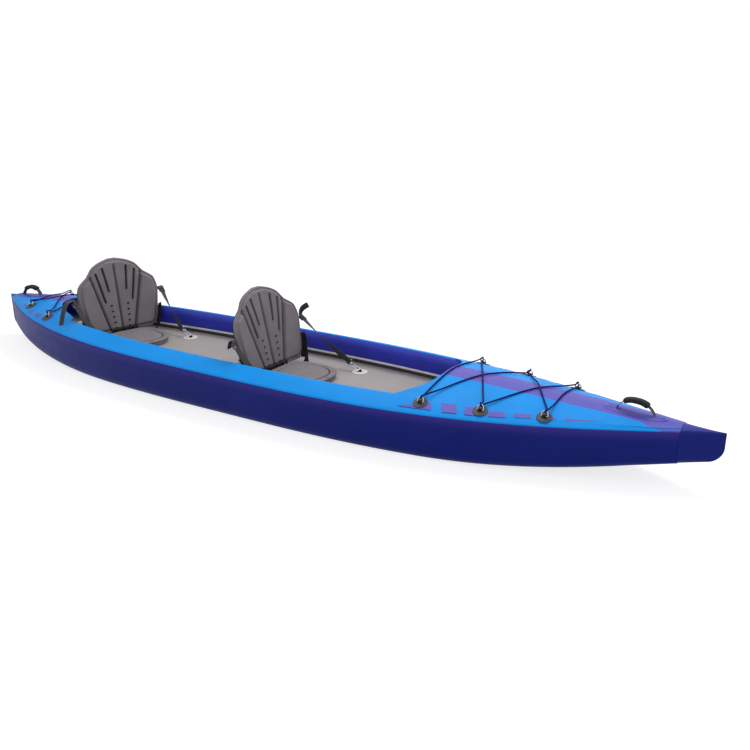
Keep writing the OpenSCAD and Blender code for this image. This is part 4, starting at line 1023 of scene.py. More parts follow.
@dataclass
class Deck:
    """A coated sheet over one end, with a violet stripe and a row of violet dashes."""

    end: End
    edge_x: float
    depth: float
    cap_x: float
    stripe: Stops
    dashes: tuple[Stops, ...]
    rows: int = 70
    inset: float = 0.020
    cockpit_power: float = 3.5
    lap: float = 0.026
    stripe_q: float = 0.3
    settle_rounds: int = 12
    feather_low: float = 0.12
    feather_q: float = 0.14
    feather_rows: int = 6
    under_feather: float = 0.4
    crest_fade: float = 0.03
    hem: Pair = (0.05, 0.01)
    dash_lift: float = 0.0003
    dash_thickness: float = 0.0004

    def stripe_half(self, x: Array) -> Array:
        """Half width of the stripe."""
        xs, ws = zip(*sorted(self.stripe))
        return np.minimum(np.interp(x, xs, ws), FORM.half(x) - self.inset - 0.0005)

    def build(self) -> None:
        """Makes the sheet and its dashes."""
        name = f"{self.end.name.lower()}_deck"
        split = self.stripe_q
        stripe_q = np.linspace(-split, split, 11)[1:-1]
        q = np.r_[np.linspace(-1, -split, 22), stripe_q, np.linspace(split, 1, 22)]
        t = np.linspace(0, 1, self.rows)[:, None]
        near_half, run_out = float(FORM.half(self.edge_x)), float(FORM.inner_y(self.edge_x)) + self.lap
        x = np.full((self.rows, len(q)), self.edge_x)
        for _ in range(self.settle_rounds):
            s, full = self.stripe_half(x), FORM.half(x) - self.inset
            beyond = s + (full - s) * (np.abs(q) - split) / (1 - split)
            y = np.where(np.abs(q) <= split, s * q / split, np.sign(q) * beyond)
            u = np.abs(y) / full
            curve = self.depth * np.minimum(1, (u * near_half / run_out) ** self.cockpit_power)
            near = self.edge_x - self.end.value * curve
            x = near + (self.cap_x - self.end.value * FORM.bond_gap - near) * t
        top = FORM.top_z(x, y)
        inside = np.clip((FORM.inner_y(x) - np.abs(y)) / self.crest_fade, 0, 1)
        ends = np.maximum(np.clip(np.arange(self.rows) / self.feather_rows, 0, 1)[:, None], inside)
        rim = smooth(np.minimum(ends, (1 - np.abs(q)) / self.feather_q))
        feather = self.feather_low + (1 - self.feather_low) * rim
        upper = np.stack([x, y, top + FORM.sheet_offset * feather], -1)
        lower = np.stack([x, y, top + FORM.lay_gap * np.minimum(feather, self.under_feather)], -1)
        points, faces = thick_sheet(upper, lower)
        middle = (np.abs(q[:-1] + q[1:]) / 2 < split).astype(int)
        zones = np.zeros(len(faces), int)
        cells = (self.rows - 1) * (len(q) - 1)
        zones[:cells] = np.tile(middle, self.rows - 1)
        made = make_piece(f"{name}_sheet", points, faces, (LIGHT_BLUE, VIOLET), HULL, (name,), zones)
        self.build_dashes(name)

    def build_dashes(self, name: str) -> None:
        """Lays thin violet dashes along both sides.

        Args:
            name: the deck's name.
        """
        dashes = Parts()
        a, b = np.meshgrid(np.linspace(0, 1, 13), np.linspace(0, 1, 7), indexing="ij")
        for side in Side:
            for outer0, outer1, inner0, inner1 in self.dashes:
                p = [np.array(k) for k in (outer0, outer1, inner0, inner1)]
                low = p[0] + (p[1] - p[0]) * a[..., None]
                high = p[2] + (p[3] - p[2]) * a[..., None]
                at = low + (high - low) * b[..., None]
                x, y = at[..., 0], FORM.half(at[..., 0]) - at[..., 1]
                base = FORM.top_z(x, y) + FORM.sheet_offset + self.dash_lift
                sheets = [np.stack([x, side.value * y, base + k], -1) for k in (self.dash_thickness, 0)]
                dashes.add(*thick_sheet(*sheets))
        make_piece(f"{name}_dashes", *dashes.mesh(), (VIOLET,), HULL)


@dataclass
class NoseCap:
    """A wrapped stem that closes one end, with a raised welded rim."""

    end: End
    start_x: float
    length: float
    rake: float
    forefoot: float
    stem_r: float = 0.008
    proud: float = 0.003
    chine_r: float = 0.060
    edge_r: float = 0.024
    ridge_r: float = 0.042
    round_share: float = 0.8
    tip_share: float = 0.02
    # Painted highlight: the cap turns to its highlight colour from a little below the top edge upward
    painted_highlight_below: float = 0.006
    painted_highlight_fade: float = 0.03
    steps: int = 60

    def section(self, x: float) -> Array:
        """One section of the cap.

        Args:
            x: place along the hull.

        Returns:
            The ring's points.
        """
        end_x = FORM.half_length
        gone = max(0.0, abs(x) - (end_x - self.length)) / self.length
        stem = max(0.0, abs(x) - (end_x - self.stem_r)) / self.stem_r
        raked = max(0.0, abs(x) - (end_x - self.rake)) / self.rake
        h = max(float(FORM.half(x)) + self.proud, self.stem_r) * math.sqrt(max(self.tip_share, 1 - stem**2))
        rise = self.forefoot * (1 - math.sqrt(max(0.0, 1 - raked**2)))
        low = float(FORM.keel_z(x)) + rise - self.proud * (1 - gone)
        ridge = float(FORM.top_z(x, 0)) + FORM.sheet_offset
        foot, edge = h * (1 - FORM.side_flare / FORM.half_beam), float(FORM.edge_z(x))
        stops = [np.array(p) for p in ((foot, low), (h, edge), (0, ridge), (-h, edge), (-foot, low))]
        r = min(self.edge_r, h * self.round_share)
        parts = []
        for i, radius in enumerate((self.chine_r, r, self.ridge_r, r, self.chine_r)):
            parts.append(corner(stops[i - 1], stops[i], stops[(i + 1) % 5], radius, 8))
        ring = np.vstack(parts)
        return np.column_stack([np.full(len(ring), x), ring])

    def build(self) -> None:
        """Makes the cap."""
        name = f"{self.end.name.lower()}_nose_cap"
        t = np.sin(np.linspace(0, math.pi / 2, self.steps))
        run = FORM.half_length - abs(self.start_x) - FORM.bond_gap
        xs = self.end.value * (abs(self.start_x) + FORM.bond_gap + t * run)
        rings = np.array([self.section(float(x)) for x in xs])
        points, faces = loft(rings)
        up = points[:, 2] - FORM.edge_z(points[:, 0])
        # The edge value paints the highlight over the cap's top
        make_piece(f"{name}_wrap", points, faces, (CAP_NAVY,), HULL, (name,),
                   values={"edge": smooth((up + self.painted_highlight_below) / self.painted_highlight_fade)})


@dataclass
class CarryHandle:
    """A padded grip on sewn webbing feet, over an oval patch on the ridge."""

    end: End
    mid_x: float
    span: float = 0.168
    rise: float = 0.050
    foot: float = 0.042
    webbing_width: float = 0.028
    webbing_thickness: float = 0.0024
    grip_width: float = 0.040
    grip_thickness: float = 0.024
    grip_share: float = 0.66
    patch_length: float = 0.290
    patch_half: float = 0.046
    patch_thickness: float = 0.0016
    patch_tip: float = 0.006
    step_fade: float = 0.008
    step_start: float = 0.004
    step_side: float = 0.007
    arch_powers: Pair = (2.4, 0.75)
    stitch: tuple[float, float, float] = (0.004, 0.002, 0.0006)
    stitch_lift: float = 0.0008
    foot_rows: Pair = (-0.010, 0.010)
    grip_rows: Pair = (-0.012, 0.012)

    def base_z(self, x: Array) -> Array:
        """Height of the webbing's middle on the patch."""
        lift = FORM.sheet_offset + 2 * FORM.lay_gap + self.patch_thickness + self.webbing_thickness / 2
        return FORM.top_z(x, 0) + lift

    def arch(self, t: Array) -> Array:
        """Points of the arch, from -1 at the aft foot to 1 at the fore foot."""
        x = self.mid_x + self.span / 2 * t
        rise = self.rise * np.maximum(0, 1 - np.abs(t) ** self.arch_powers[0]) ** self.arch_powers[1]
        return np.stack([x, 0 * x, self.base_z(x) + rise], -1)

    def build(self) -> None:
        """Makes the grip, the webbing and the stitches."""
        name = f"{self.end.name.lower()}_handle"
        webbing, threads = Parts(), Parts()
        for end in (-1.0, 1.0):
            foot_x = self.mid_x + end * (self.span / 2 + self.foot * np.linspace(1, 0, 9))
            feet = np.stack([foot_x, 0 * foot_x, self.base_z(foot_x)], -1)
            route = np.vstack([feet, self.arch(end * np.linspace(0.97, self.grip_share - 0.04, 14))])
            webbing.add(*band(route, (0, 1.0, 0), self.webbing_width, self.webbing_thickness))
            up = np.tile((0, 0, 1.0), (len(feet), 1))
            for y in self.foot_rows:
                line = feet + (0, y, self.webbing_thickness / 2 + self.stitch_lift)
                threads.add(*stitches(line, up, *self.stitch))
        make_piece(f"{name}_straps", *webbing.mesh(), (BLACK_WEBBING,), HULL,
                   (f"{name}_webbing",), flat=np.vstack(webbing.flat))
        t = np.linspace(-self.grip_share, self.grip_share, 41)
        route = self.arch(t)
        along = unit(np.gradient(route, axis=0))
        up = np.cross(along, (0, 1.0, 0))
        a = round_angles(28)
        wide = np.sign(np.cos(a)) * np.abs(np.cos(a)) ** 0.55 * self.grip_width / 2
        high = np.sign(np.sin(a)) * np.abs(np.sin(a)) ** 0.7 * self.grip_thickness / 2
        from_end = (1 - np.abs(t) / self.grip_share) / 0.08
        pinch = np.minimum(1, 0.7 + 0.3 * np.sqrt(np.minimum(1, from_end)))
        wave = 1 - 0.05 * (np.cos(t / self.grip_share * 9 * math.pi) > 0.9)
        size = (pinch * wave)[:, None]
        rings = route[:, None] + np.stack([0 * wide * size, wide * size, 0 * wide * size], -1)
        rings = rings + up[:, None] * (high * size)[..., None]
        points, faces = loft(rings)
        grip = make_piece(f"{name}_grip_pad", points, faces, (BACKING,), HULL, (f"{name}_grip",))
        for y in self.grip_rows:
            line = route[2:-2] + up[2:-2] * (self.grip_thickness / 2 - self.stitch[2]) + (0, y, 0)
            threads.add(*stitches(line, up[2:-2], *self.stitch))
        make_piece(f"{name}_stitches", *threads.mesh(), (THREAD,), HULL)

    def patch(self) -> Mesh:
        """The oval patch under the handle."""
        t = np.linspace(-1, 1, 91)
        j = np.linspace(-1, 1, 33)
        half = np.maximum(self.patch_tip, self.patch_half * np.sqrt(np.maximum(0, 1 - np.abs(t) ** 4)))
        x = np.repeat((self.mid_x + t * self.patch_length / 2)[:, None], len(j), 1)
        y = half[:, None] * j
        low = FORM.top_z(x, y) + FORM.sheet_offset + FORM.lay_gap
        rim = np.minimum(1, np.minimum((1 - np.abs(j)) * 12, 1)[None] * 0.6 + 0.4)
        reach = np.abs(x - self.mid_x) - self.span / 2
        fade = self.step_fade
        over = smooth((reach + self.step_start) / fade) * smooth((self.foot + fade - reach) / fade)
        over = over * smooth((self.webbing_width / 2 + fade - np.abs(y)) / self.step_side)
        step = self.patch_thickness * rim + over * (FORM.lay_gap + self.webbing_thickness + self.stitch_lift)
        return thick_sheet(np.stack([x, y, low + step], -1), np.stack([x, y, low], -1))


# Rings, patches and cords


@dataclass(frozen=True)
class RingFitting:
    """Sizes of a patch with its tab and D-ring, with Z off the skin and the ring's bar along X."""

    rod: float = 0.005
    width: float = 0.030
    leg: float = 0.008
    patch_thickness: float = 0.003
    tab_length: float = 0.020
    tab_reach: float = 0.024
    tab_base: float = 0.002
    tab_wall: float = 0.002
    tab_edge: float = 0.001
    bar_clear: float = 0.00035
    disc_profile: Stops = (
        (0.97, 0), (1.0, 0.12), (1.0, 0.45), (0.985, 0.78), (0.95, 0.96), (0.90, 1.0), (0.86, 0.9),
        (0.82, 0.78), (0.55, 0.80), (0.45, 0.92), (0.2, 1.0))

    @property
    def bar_height(self) -> float:
        """Height of the ring's bar above the patch's underside."""
        return self.patch_thickness + FORM.bond_gap + self.tab_base + self.bar_clear + self.rod / 2

    @property
    def bow(self) -> float:
        """Reach of the ring's bow from its bar."""
        return self.leg + self.width / 2

    def disc(self, diameter: float) -> Mesh:
        """A round patch with a raised rim and a soft edge.

        Args:
            diameter: the patch's diameter.

        Returns:
            The points and the faces.
        """
        profile = np.array(self.disc_profile) * (diameter / 2, self.patch_thickness)
        a = round_angles(72)
        rings = [np.stack([r * np.cos(a), r * np.sin(a), np.full(len(a), z)], -1) for r, z in profile]
        return loft(np.array(rings))

    def tab(self) -> Mesh:
        """A sewn webbing tab folded over the ring's bar."""
        z0, bar = self.patch_thickness + FORM.bond_gap, self.bar_height
        r = self.rod / 2 + self.bar_clear + self.tab_wall
        a = np.radians(np.linspace(-38, 218, 19))
        over = np.stack([r * np.cos(a), bar + r * np.sin(a)], -1)
        half, top = self.tab_reach / 2, z0 + self.tab_base
        soft = self.tab_edge
        foot = [(half - soft, z0), (half, z0 + soft), (half - soft, top), (r + 2 * soft, top)]
        line = np.vstack([foot, over, [(-k, z) for k, z in reversed(foot)]])
        x = np.array([-1, -0.94, 0.94, 1]) * self.tab_length / 2
        shrink = np.array([0.93, 1, 1, 0.93])
        mid = np.array([0, (z0 + top) / 2])
        rings = [np.column_stack([np.full(len(line), k), (line - mid) * s + mid]) for k, s in zip(x, shrink)]
        return loft(np.array(rings))


FITTING = RingFitting()


@dataclass
class DeckRigging:
    """Ring patches, tabs and one laced shock cord on each deck."""

    bow_rings: Stops = ((1.063, 0.077), (1.347, 0.068), (1.628, 0.059))
    stern_rings: Stops = ((-1.650, 0.073), (-1.940, 0.074))
    patch_d: float = 0.072
    lean: float = math.radians(50)
    cord_d: float = 0.006
    braid_d: float = 0.0078
    cord_lie_gap: float = 0.0024
    hump: float = 0.009
    turn_shift: float = 0.006
    turn_gap: float = 0.0007
    bend_angles: tuple[float, ...] = (50, 100, 152, 206, 260, 312)
    bend_half: float = math.radians(27)
    tail_out: float = 0.030
    tail_drops: Pair = (0.006, 0.015)

    def ring_frame(self, ring: Pair) -> tuple[Array, Array, Array, Array]:
        """The skin's frame under a ring."""
        return FORM.top_frame(ring[0], float(FORM.half(ring[0])) - ring[1], FORM.sheet_offset + FORM.lay_gap)

    def set_on(self, points: Array, ring: Pair, side: Side) -> Array:
        """Moves points from a ring's frame to the deck."""
        a, b, up, at = self.ring_frame(ring)
        made = at + points[:, :1] * a - points[:, 1:2] * b + points[:, 2:] * up
        return made * side.flip

    def turn(self, ring: Pair, side: Side, arrive: float, leave: float) -> Array:
        """The cord's bend round a ring's bow.

        Args:
            ring: the ring's place.
            side: its side.
            arrive: which way along the bar the cord comes in.
            leave: which way it goes out.

        Returns:
            The bend's points, with one before and one after it.
        """
        y, z = FITTING.bow * math.cos(self.lean), FITTING.bar_height + FITTING.bow * math.sin(self.lean)
        r = (FITTING.rod / 2 + self.cord_d / 2 + self.turn_gap) / math.cos(self.bend_half)
        angles = np.radians(self.bend_angles)
        last_bend = len(angles) - 1
        k = self.turn_shift * (arrive + (leave - arrive) * np.arange(len(angles)) / last_bend)
        bend = np.stack([k, y + r * np.cos(angles), z + r * np.sin(angles)], -1)
        first = (self.turn_shift * arrive, y + self.tail_out, z - self.tail_drops[0])
        last = (self.turn_shift * leave, y + self.tail_out, z - self.tail_drops[1])
        return self.set_on(np.vstack([first, bend, last]), ring, side)

    def leg(self, a: Array, b: Array, hump: float) -> Array:
        """The cord's way over the crown between two rings.

        Args:
            a: the leg's start.
            b: its end.
            hump: how far it rises over a crossing cord.

        Returns:
            The points between the two.
        """
        t = np.arange(1, 7) / 7
        x, y = a[0] + (b[0] - a[0]) * t, a[1] + (b[1] - a[1]) * t
        rise = [p[2] - float(FORM.top_z(p[0], p[1])) for p in (a, b)]
        lie = FORM.sheet_offset + self.cord_d / 2 + self.cord_lie_gap
        ends = rise[0] + (rise[1] - rise[0]) * t
        z = FORM.top_z(x, y) + lie + (ends - lie) * (2 * t - 1) ** 4 + hump * np.sin(math.pi * t) ** 4
        return np.stack([x, y, z], -1)

    def cord(self, name: str, stops: Sequence[tuple]) -> None:
        """Makes one closed laced cord.

        Args:
            name: the cord's CAD node.
            stops: ring, side, arriving and leaving direction, and hump of the leaving leg.
        """
        turns = [self.turn(s[0], s[1], s[2], s[3]) for s in stops]
        parts = []
        for i, s in enumerate(stops):
            parts += [turns[i], self.leg(turns[i][-1], turns[(i + 1) % len(stops)][0], s[4])]
        route = resample(np.vstack(parts), 6, closed=True)
        points, faces, flat = tube(route, self.braid_d / 2, 12, True)
        make_piece(f"{name}_braid", points, faces, (SHOCK_CORD,), HULL, (name,), flat=flat)

    def build(self) -> None:
        """Makes the patches, the tabs and both cords."""
        patches, tabs = Parts(), Parts()
        for ring in self.bow_rings + self.stern_rings:
            for side in Side:
                p, f = FITTING.disc(self.patch_d)
                patches.add(self.set_on(p, ring, side), f)
                p, f = FITTING.tab()
                tabs.add(self.set_on(p, ring, side), f)
        make_piece("deck_ring_discs", *patches.mesh(), (DARK_PVC,), HULL,
                   ("deck_ring_patches",))
        make_piece("deck_ring_sewn_tabs", *tabs.mesh(), (BACKING,), HULL, ("deck_ring_tabs",))
        b, s = self.bow_rings, self.stern_rings
        near, far = Side.STARBOARD, Side.PORT
        bow_stops = ((b[0], near, 1, -1, 0), (b[0], far, -1, 1, self.hump), (b[1], near, -1, 1, 0),
                     (b[2], far, -1, 1, 0), (b[2], near, 1, -1, self.hump), (b[1], far, 1, -1, 0))
        stern_stops = ((s[0], near, -1, 1, 0), (s[0], far, 1, -1, self.hump), (s[1], near, 1, -1, 0),
                       (s[1], far, -1, 1, 0))
        self.cord("bow_shock_cord", bow_stops)
        self.cord("stern_shock_cord", stern_stops)


# Seats


@dataclass(frozen=True)
class SeatPlace:
    """Where a seat stands, and how it is turned and leaned."""

    name: str
    x: float
    y: float
    turn: float
    lean: float
    slack_height: float


@dataclass(frozen=True)
class PressedForm:
    """Sizes of the rim, bolsters, channels, slots and dimples pressed into a backrest."""

    fan_foot: float = 0.090
    fan_spread: float = 0.090
    fan_from: float = 0.02
    fan_height: float = 0.36
    bead: float = 0.52
    bead_swell: float = 0.14
    bead_width: float = 0.015
    middle: float = 0.94
    lip_share: float = 0.3
    lip_width: float = 0.007
    bolster: float = 0.3
    bolster_top: float = 0.345
    pillow: float = 0.2
    pillow_top: float = 0.40
    channel_top: float = 0.418
    side_channel: float = 0.0075
    mid_channel: float = 0.0066
    channel_depth: float = 0.0105
    slots: tuple[tuple[float, ...], ...] = ((0.060, 0.245, 0.080, 0.388), (0.092, 0.178, 0.130, 0.360))
    slot_r: float = 0.0085
    slot_depth: float = 0.012
    slot_lip: float = 0.011
    dimples: int = 5
    dimple_at: Pair = (0.056, 0.150)
    dimple_step: Pair = (0.0022, 0.036)
    dimple_r: float = 0.0092
    dimple_lip: float = 0.0122
    cut_edge: float = 0.005
    lip_round: float = 0.003
    lip_height: float = 0.0016
    thinnest: float = 0.004
    thickest: float = 1.3


@dataclass
class Seat:
    """One strap-on seat: pressed foam backrest and pad, dark backing and gussets, straps with their tails."""

    place: SeatPlace
    pressed: PressedForm = PressedForm()
    hinge_height: float = 0.044
    back_top: float = 0.447
    back_half_width: float = 0.270
    back_thickness: float = 0.024
    swell: float = 1.12
    back_wrap: float = 0.031
    head_fill: float = 0.085
    head_span: Pair = (0.765, 0.235)
    back_gap: float = 0.004
    pad_gap: float = 0.001
    roll_r: float = 0.007
    roll_half: float = 0.092
    sleeve_t: float = 0.002
    sleeve_clear: float = 0.0004
    sleeve_half: float = 0.014
    sleeve_mids: tuple[float, ...] = (-0.056, 0, 0.056)
    web_mids: tuple[float, ...] = (-0.080, -0.028, 0.028, 0.080)
    web_width: float = 0.020
    web_t: float = 0.002
    pad_length: float = 0.350
    pad_half_width: float = 0.180
    pad_height: float = 0.033
    pad_rays: tuple[float, ...] = (0, 38, -38, 76, -76)
    pad_groove: float = 0.006
    pad_seam: float = 0.004
    backing_thickness: float = 0.003
    backing_gap: float = 0.0006
    backing_out: float = 0.002
    gusset_thickness: float = 0.0016
    gusset_bulge: float = 0.004
    gusset_top: float = 0.26
    gusset_low: float = 0.004
    gusset_out: Pair = (0.0057, 0.00475)
    gusset_fore: tuple[float, float, float] = (0.070, 0.005, 0.7)
    gusset_foot: Pair = (0.012, 0.008)
    gusset_past: float = 0.012
    webbing_width: float = 0.032
    webbing_thickness: float = 0.0024
    anchor_fore: Pair = (0.395, 0.202)
    anchor_aft: Pair = (-0.205, 0.170)
    buckle_height: float = 0.200
    buckle_out: float = 0.026
    buckle_ahead: float = 0.008
    buckle_length: float = 0.034
    buckle_t: float = 0.008
    slack_ahead: float = 0.066
    slack_clear: float = 0.039
    slack_lift: float = 0.030
    rear_strap_height: float = 0.120
    rear_strap_gap: float = 0.012
    rear_strap_out: float = 0.014
    taut_sag: float = 0.010
    rear_bow: float = 0.012
    tail_gap: float = 0.0007
    tail_past: float = 0.007
    tail_off: float = 0.003
    loop_tail: float = 0.014
    loop_r: float = 0.0035
    lift_fore: float = 150.0
    lift_aft: float = 48.0
    hook_length: float = 0.055
    hook_eye_r: float = 0.0075
    hook_wire_r: float = 0.00225
    hook_clear: float = 0.0004
    outline: Stops = (
        (-0.045, 0.62), (0, 0.69), (0.06, 0.84), (0.12, 0.9), (0.2, 0.94), (0.3, 0.965), (0.4, 0.99),
        (0.5, 1), (0.58, 0.985), (0.66, 0.94), (0.7, 0.875), (0.74, 0.785), (0.79, 0.66), (0.84, 0.55),
        (0.9, 0.445), (0.95, 0.32), (0.98, 0.2), (1, 0.08))
    foot_outline: Stops = (
        (-0.045, 0.76), (0, 0.84), (0.06, 0.9), (0.12, 0.928), (0.2, 0.95))
    backing_foot: Stops = ((-0.045, 0.84), (0.34, 0.98))
    # Shares of the pad's outline and of its height, and the groove, from the foot to the middle
    pad_stops: tuple[tuple[float, float, float], ...] = (
        (0.955, 0, 0), (0.968, 0.28, 0), (0.952, 0.52, 0), (0.975, 0.66, 0), (1, 0.8, 0), (0.985, 0.96, 0),
        (0.93, 1.03, 0), (0.86, 1.02, 0), (0.81, 0.95, 0), (0.78, 0.92, -1), (0.75, 0.99, 0), (0.69, 1.12, 0),
        (0.5, 1.2, 0), (0.25, 1.24, 0), (0.03, 1.25, 0))

    # Frames

    @property
    def floor(self) -> float:
        """Height that the seat stands on."""
        return float(FORM.floor_top(self.place.x)) + FORM.bond_gap

    @property
    def body(self) -> str:
        """The backrest's body."""
        return f"{self.place.name}_backrest"

    @property
    def back_rear(self) -> float:
        """Rear face of the foam, behind the hinge line."""
        front = self.roll_r + self.sleeve_clear + self.sleeve_t + self.back_gap
        return -front - self.back_thickness * self.swell

    @property
    def pad_rear(self) -> float:
        """Rear end of the pad, ahead of the hinge line."""
        return self.roll_r + self.sleeve_clear + self.sleeve_t + self.pad_gap

    def from_back(self, p: Array) -> Array:
        """Points of the backrest's own frame in the seat's frame.

        Args:
            p: the points.

        Returns:
            The points, moved.
        """
        a = math.radians(self.place.lean)
        c, s = math.cos(a), math.sin(a)
        x, y, z = np.moveaxis(np.asarray(p, float), -1, 0)
        return np.stack([x * c - z * s, y, x * s + z * c + self.hinge_height], -1)

    def to_bay(self, p: Array) -> Array:
        """Points of the seat's frame in the bay, which lies along the hull at the hinge line.

        Args:
            p: the points.

        Returns:
            The points, moved.
        """
        a = math.radians(self.place.turn)
        c, s = math.cos(a), math.sin(a)
        x, y, z = np.moveaxis(np.asarray(p, float), -1, 0)
        return np.stack([x * c + y * s, y * c - x * s + self.place.y, z], -1)

    def to_world(self, p: Array) -> Array:
        """Points of the bay in the hull's frame."""
        return np.asarray(p, float) + (self.place.x, 0, self.floor)

    def seat_world(self, p: Array) -> Array:
        """Points of the seat's frame in the hull's frame."""
        return self.to_world(self.to_bay(p))

    def back_world(self, p: Array) -> Array:
        """Points of the backrest's frame in the hull's frame."""
        return self.seat_world(self.from_back(p))

    def back_to_side(self, p: Array, side: Side) -> Array:
        """A backrest's point on one side, in the bay's frame mirrored for starboard."""
        return self.to_bay(self.from_back(np.asarray(p, float) * side.flip)) * side.flip

    def side_world(self, p: Array, side: Side) -> Array:
        """Points of the mirrored bay in the hull's frame."""
        return self.to_world(np.asarray(p, float) * side.flip)

    def rear_point(self, y: float, v: float, out: float) -> tuple[float, float, float]:
        """A point of the foam's rear face, moved forward by a distance."""
        return self.back_rear + float(self.wrap(y)) + out, y, v

    # Backrest

    def half(self, v: Array) -> Array:
        """Half width of the backrest, straight between its stops."""
        vs, ws = zip(*self.outline)
        return self.back_half_width * np.interp(np.asarray(v) / self.back_top, vs, ws)

    def soft_half(self, v: Array) -> Array:
        """Half width of the foam with its stops rounded off, and its head and foot a little fuller.

        Args:
            v: place up the backrest.

        Returns:
            The half width.
        """
        foot = dict(self.foot_outline)
        stops = resample(np.array([(a, foot.get(a, b), 0) for a, b in self.outline]), 12)
        share = np.asarray(v) / self.back_top
        up_head = np.clip((share - self.head_span[0]) / self.head_span[1], 0, 1)
        head = self.head_fill * np.sin(math.pi * up_head)
        return self.back_half_width * (np.interp(share, stops[:, 0], stops[:, 1]) + head)

    def wrap(self, y: Array) -> Array:
        """How far the sides curve forward."""
        return self.back_wrap * (np.asarray(y) / self.back_half_width) ** 2

    def relief(self, y: Array, v: Array, rim: Array) -> tuple[Array, Array]:
        """Thickness of the foam with its channels, slots and dimples.

        Args:
            y: place across.
            v: place up the backrest.
            rim: distance in from the outline.

        Returns:
            The thickness, and the painted shade in the channels, slots and dimples, from 0 to 1.
        """
        ay = np.abs(y)
        form = self.pressed
        fan = form.fan_foot + form.fan_spread * (v - form.fan_from) / form.fan_height
        bead = form.bead + form.bead_swell * np.sin(np.clip(rim / form.bead_width, 0, 1) * math.pi)
        rise = smooth((rim - 0.014) / 0.018)
        thick = self.back_thickness * (bead * (1 - rise) + form.middle * rise)
        thick *= form.lip_share + (1 - form.lip_share) * np.sqrt(np.clip(rim / form.lip_width, 0, 1))
        bolster = smooth((ay - fan - 0.004) / 0.012) * smooth((rim - 0.018) / 0.016)
        bolster = bolster * smooth((form.bolster_top - v) / 0.03)
        finger = np.clip(ay / np.maximum(fan, 0.02), 0, 1)
        pillow = 4 * finger * (1 - finger) * (ay < fan) * smooth((form.pillow_top - v) / 0.12)
        thick += rise * self.back_thickness * (form.bolster * bolster + form.pillow * pillow)
        fade = smooth((form.channel_top - v) / 0.02) * smooth((rim - 0.008) / 0.012)
        sides = np.exp(-(((ay - fan) / form.side_channel) ** 2))
        long_cut = np.maximum(sides, np.exp(-((ay / form.mid_channel) ** 2)) * 0.9) * fade
        slots, dots, lip = np.zeros_like(ay), np.zeros_like(ay), np.zeros_like(ay)
        for y0, v0, y1, v1 in form.slots:
            a, b = np.array([y0, v0]), np.array([y1, v1])
            t = np.clip(((ay - y0) * (b - a)[0] + (v - v0) * (b - a)[1]) / np.dot(b - a, b - a), 0, 1)
            d = np.hypot(ay - y0 - t * (b - a)[0], v - v0 - t * (b - a)[1])
            slots = np.maximum(slots, smooth((form.slot_r - d) / form.cut_edge))
            lip = np.maximum(lip, np.exp(-(((d - form.slot_lip) / form.lip_round) ** 2)))
        for k in range(form.dimples):
            d = np.hypot(ay - form.dimple_at[0] + form.dimple_step[0] * k,
                         v - form.dimple_at[1] + form.dimple_step[1] * k)
            dots = np.maximum(dots, smooth((form.dimple_r - d) / form.cut_edge))
            lip = np.maximum(lip, np.exp(-(((d - form.dimple_lip) / form.lip_round) ** 2)))
        inside = np.clip(rim / 0.02, 0, 1)
        # Painted shade: darkest in the slots and dimples, a little less in the channels
        press = np.maximum(np.maximum(0.8 * long_cut, slots), 0.95 * dots) * inside
        depth = form.channel_depth * long_cut + form.slot_depth * np.maximum(slots, 0.8 * dots)
        depth = depth - form.lip_height * lip
        return np.clip(thick - depth * inside, form.thinnest, self.back_thickness * form.thickest), press

    def build_backrest(self) -> None:
        """Makes the pressed foam and the dark backing."""
        low = self.outline[0][0] * self.back_top
        v = low + (self.back_top - low) * np.linspace(0, 1, 181)
        u = np.linspace(-1, 1, 201)
        w = self.soft_half(v)
        slope = np.gradient(w, v)
        y, vv = w[:, None] * u, np.repeat(v[:, None], len(u), 1)
        rim = (w[:, None] - np.abs(y)) / np.sqrt(1 + slope[:, None] ** 2)
        rim = np.minimum(np.minimum(rim, (self.back_top - vv) + 0.0005), vv - low + 0.0005)
        thick, press = self.relief(y, vv, np.maximum(rim, 0))
        rear = np.stack([self.back_rear + self.wrap(y), y, vv], -1)
        front = rear + np.stack([thick, 0 * thick, 0 * thick], -1)
        points, faces = thick_sheet(self.back_world(front), self.back_world(rear))
        node = f"{self.place.name}_backrest_foam"
        foam = make_piece(f"{node}_panel", points, faces, (FOAM,), self.body, (node,),
                          values={"press": np.concatenate([press.ravel(), 0 * press.ravel()])})
        self.build_backing(low)

    def backing_half(self, v: Array) -> Array:
        """Half width of the backing, which is fuller than the foam low down.

        Args:
            v: place up the backrest.

        Returns:
            The half width.
        """
        share = np.asarray(v) / self.back_top
        vs, ws = zip(*self.backing_foot)
        fuller = np.where(share < vs[1], self.back_half_width * np.interp(share, vs, ws), 0)
        return np.maximum(self.half(v), fuller) + self.backing_out

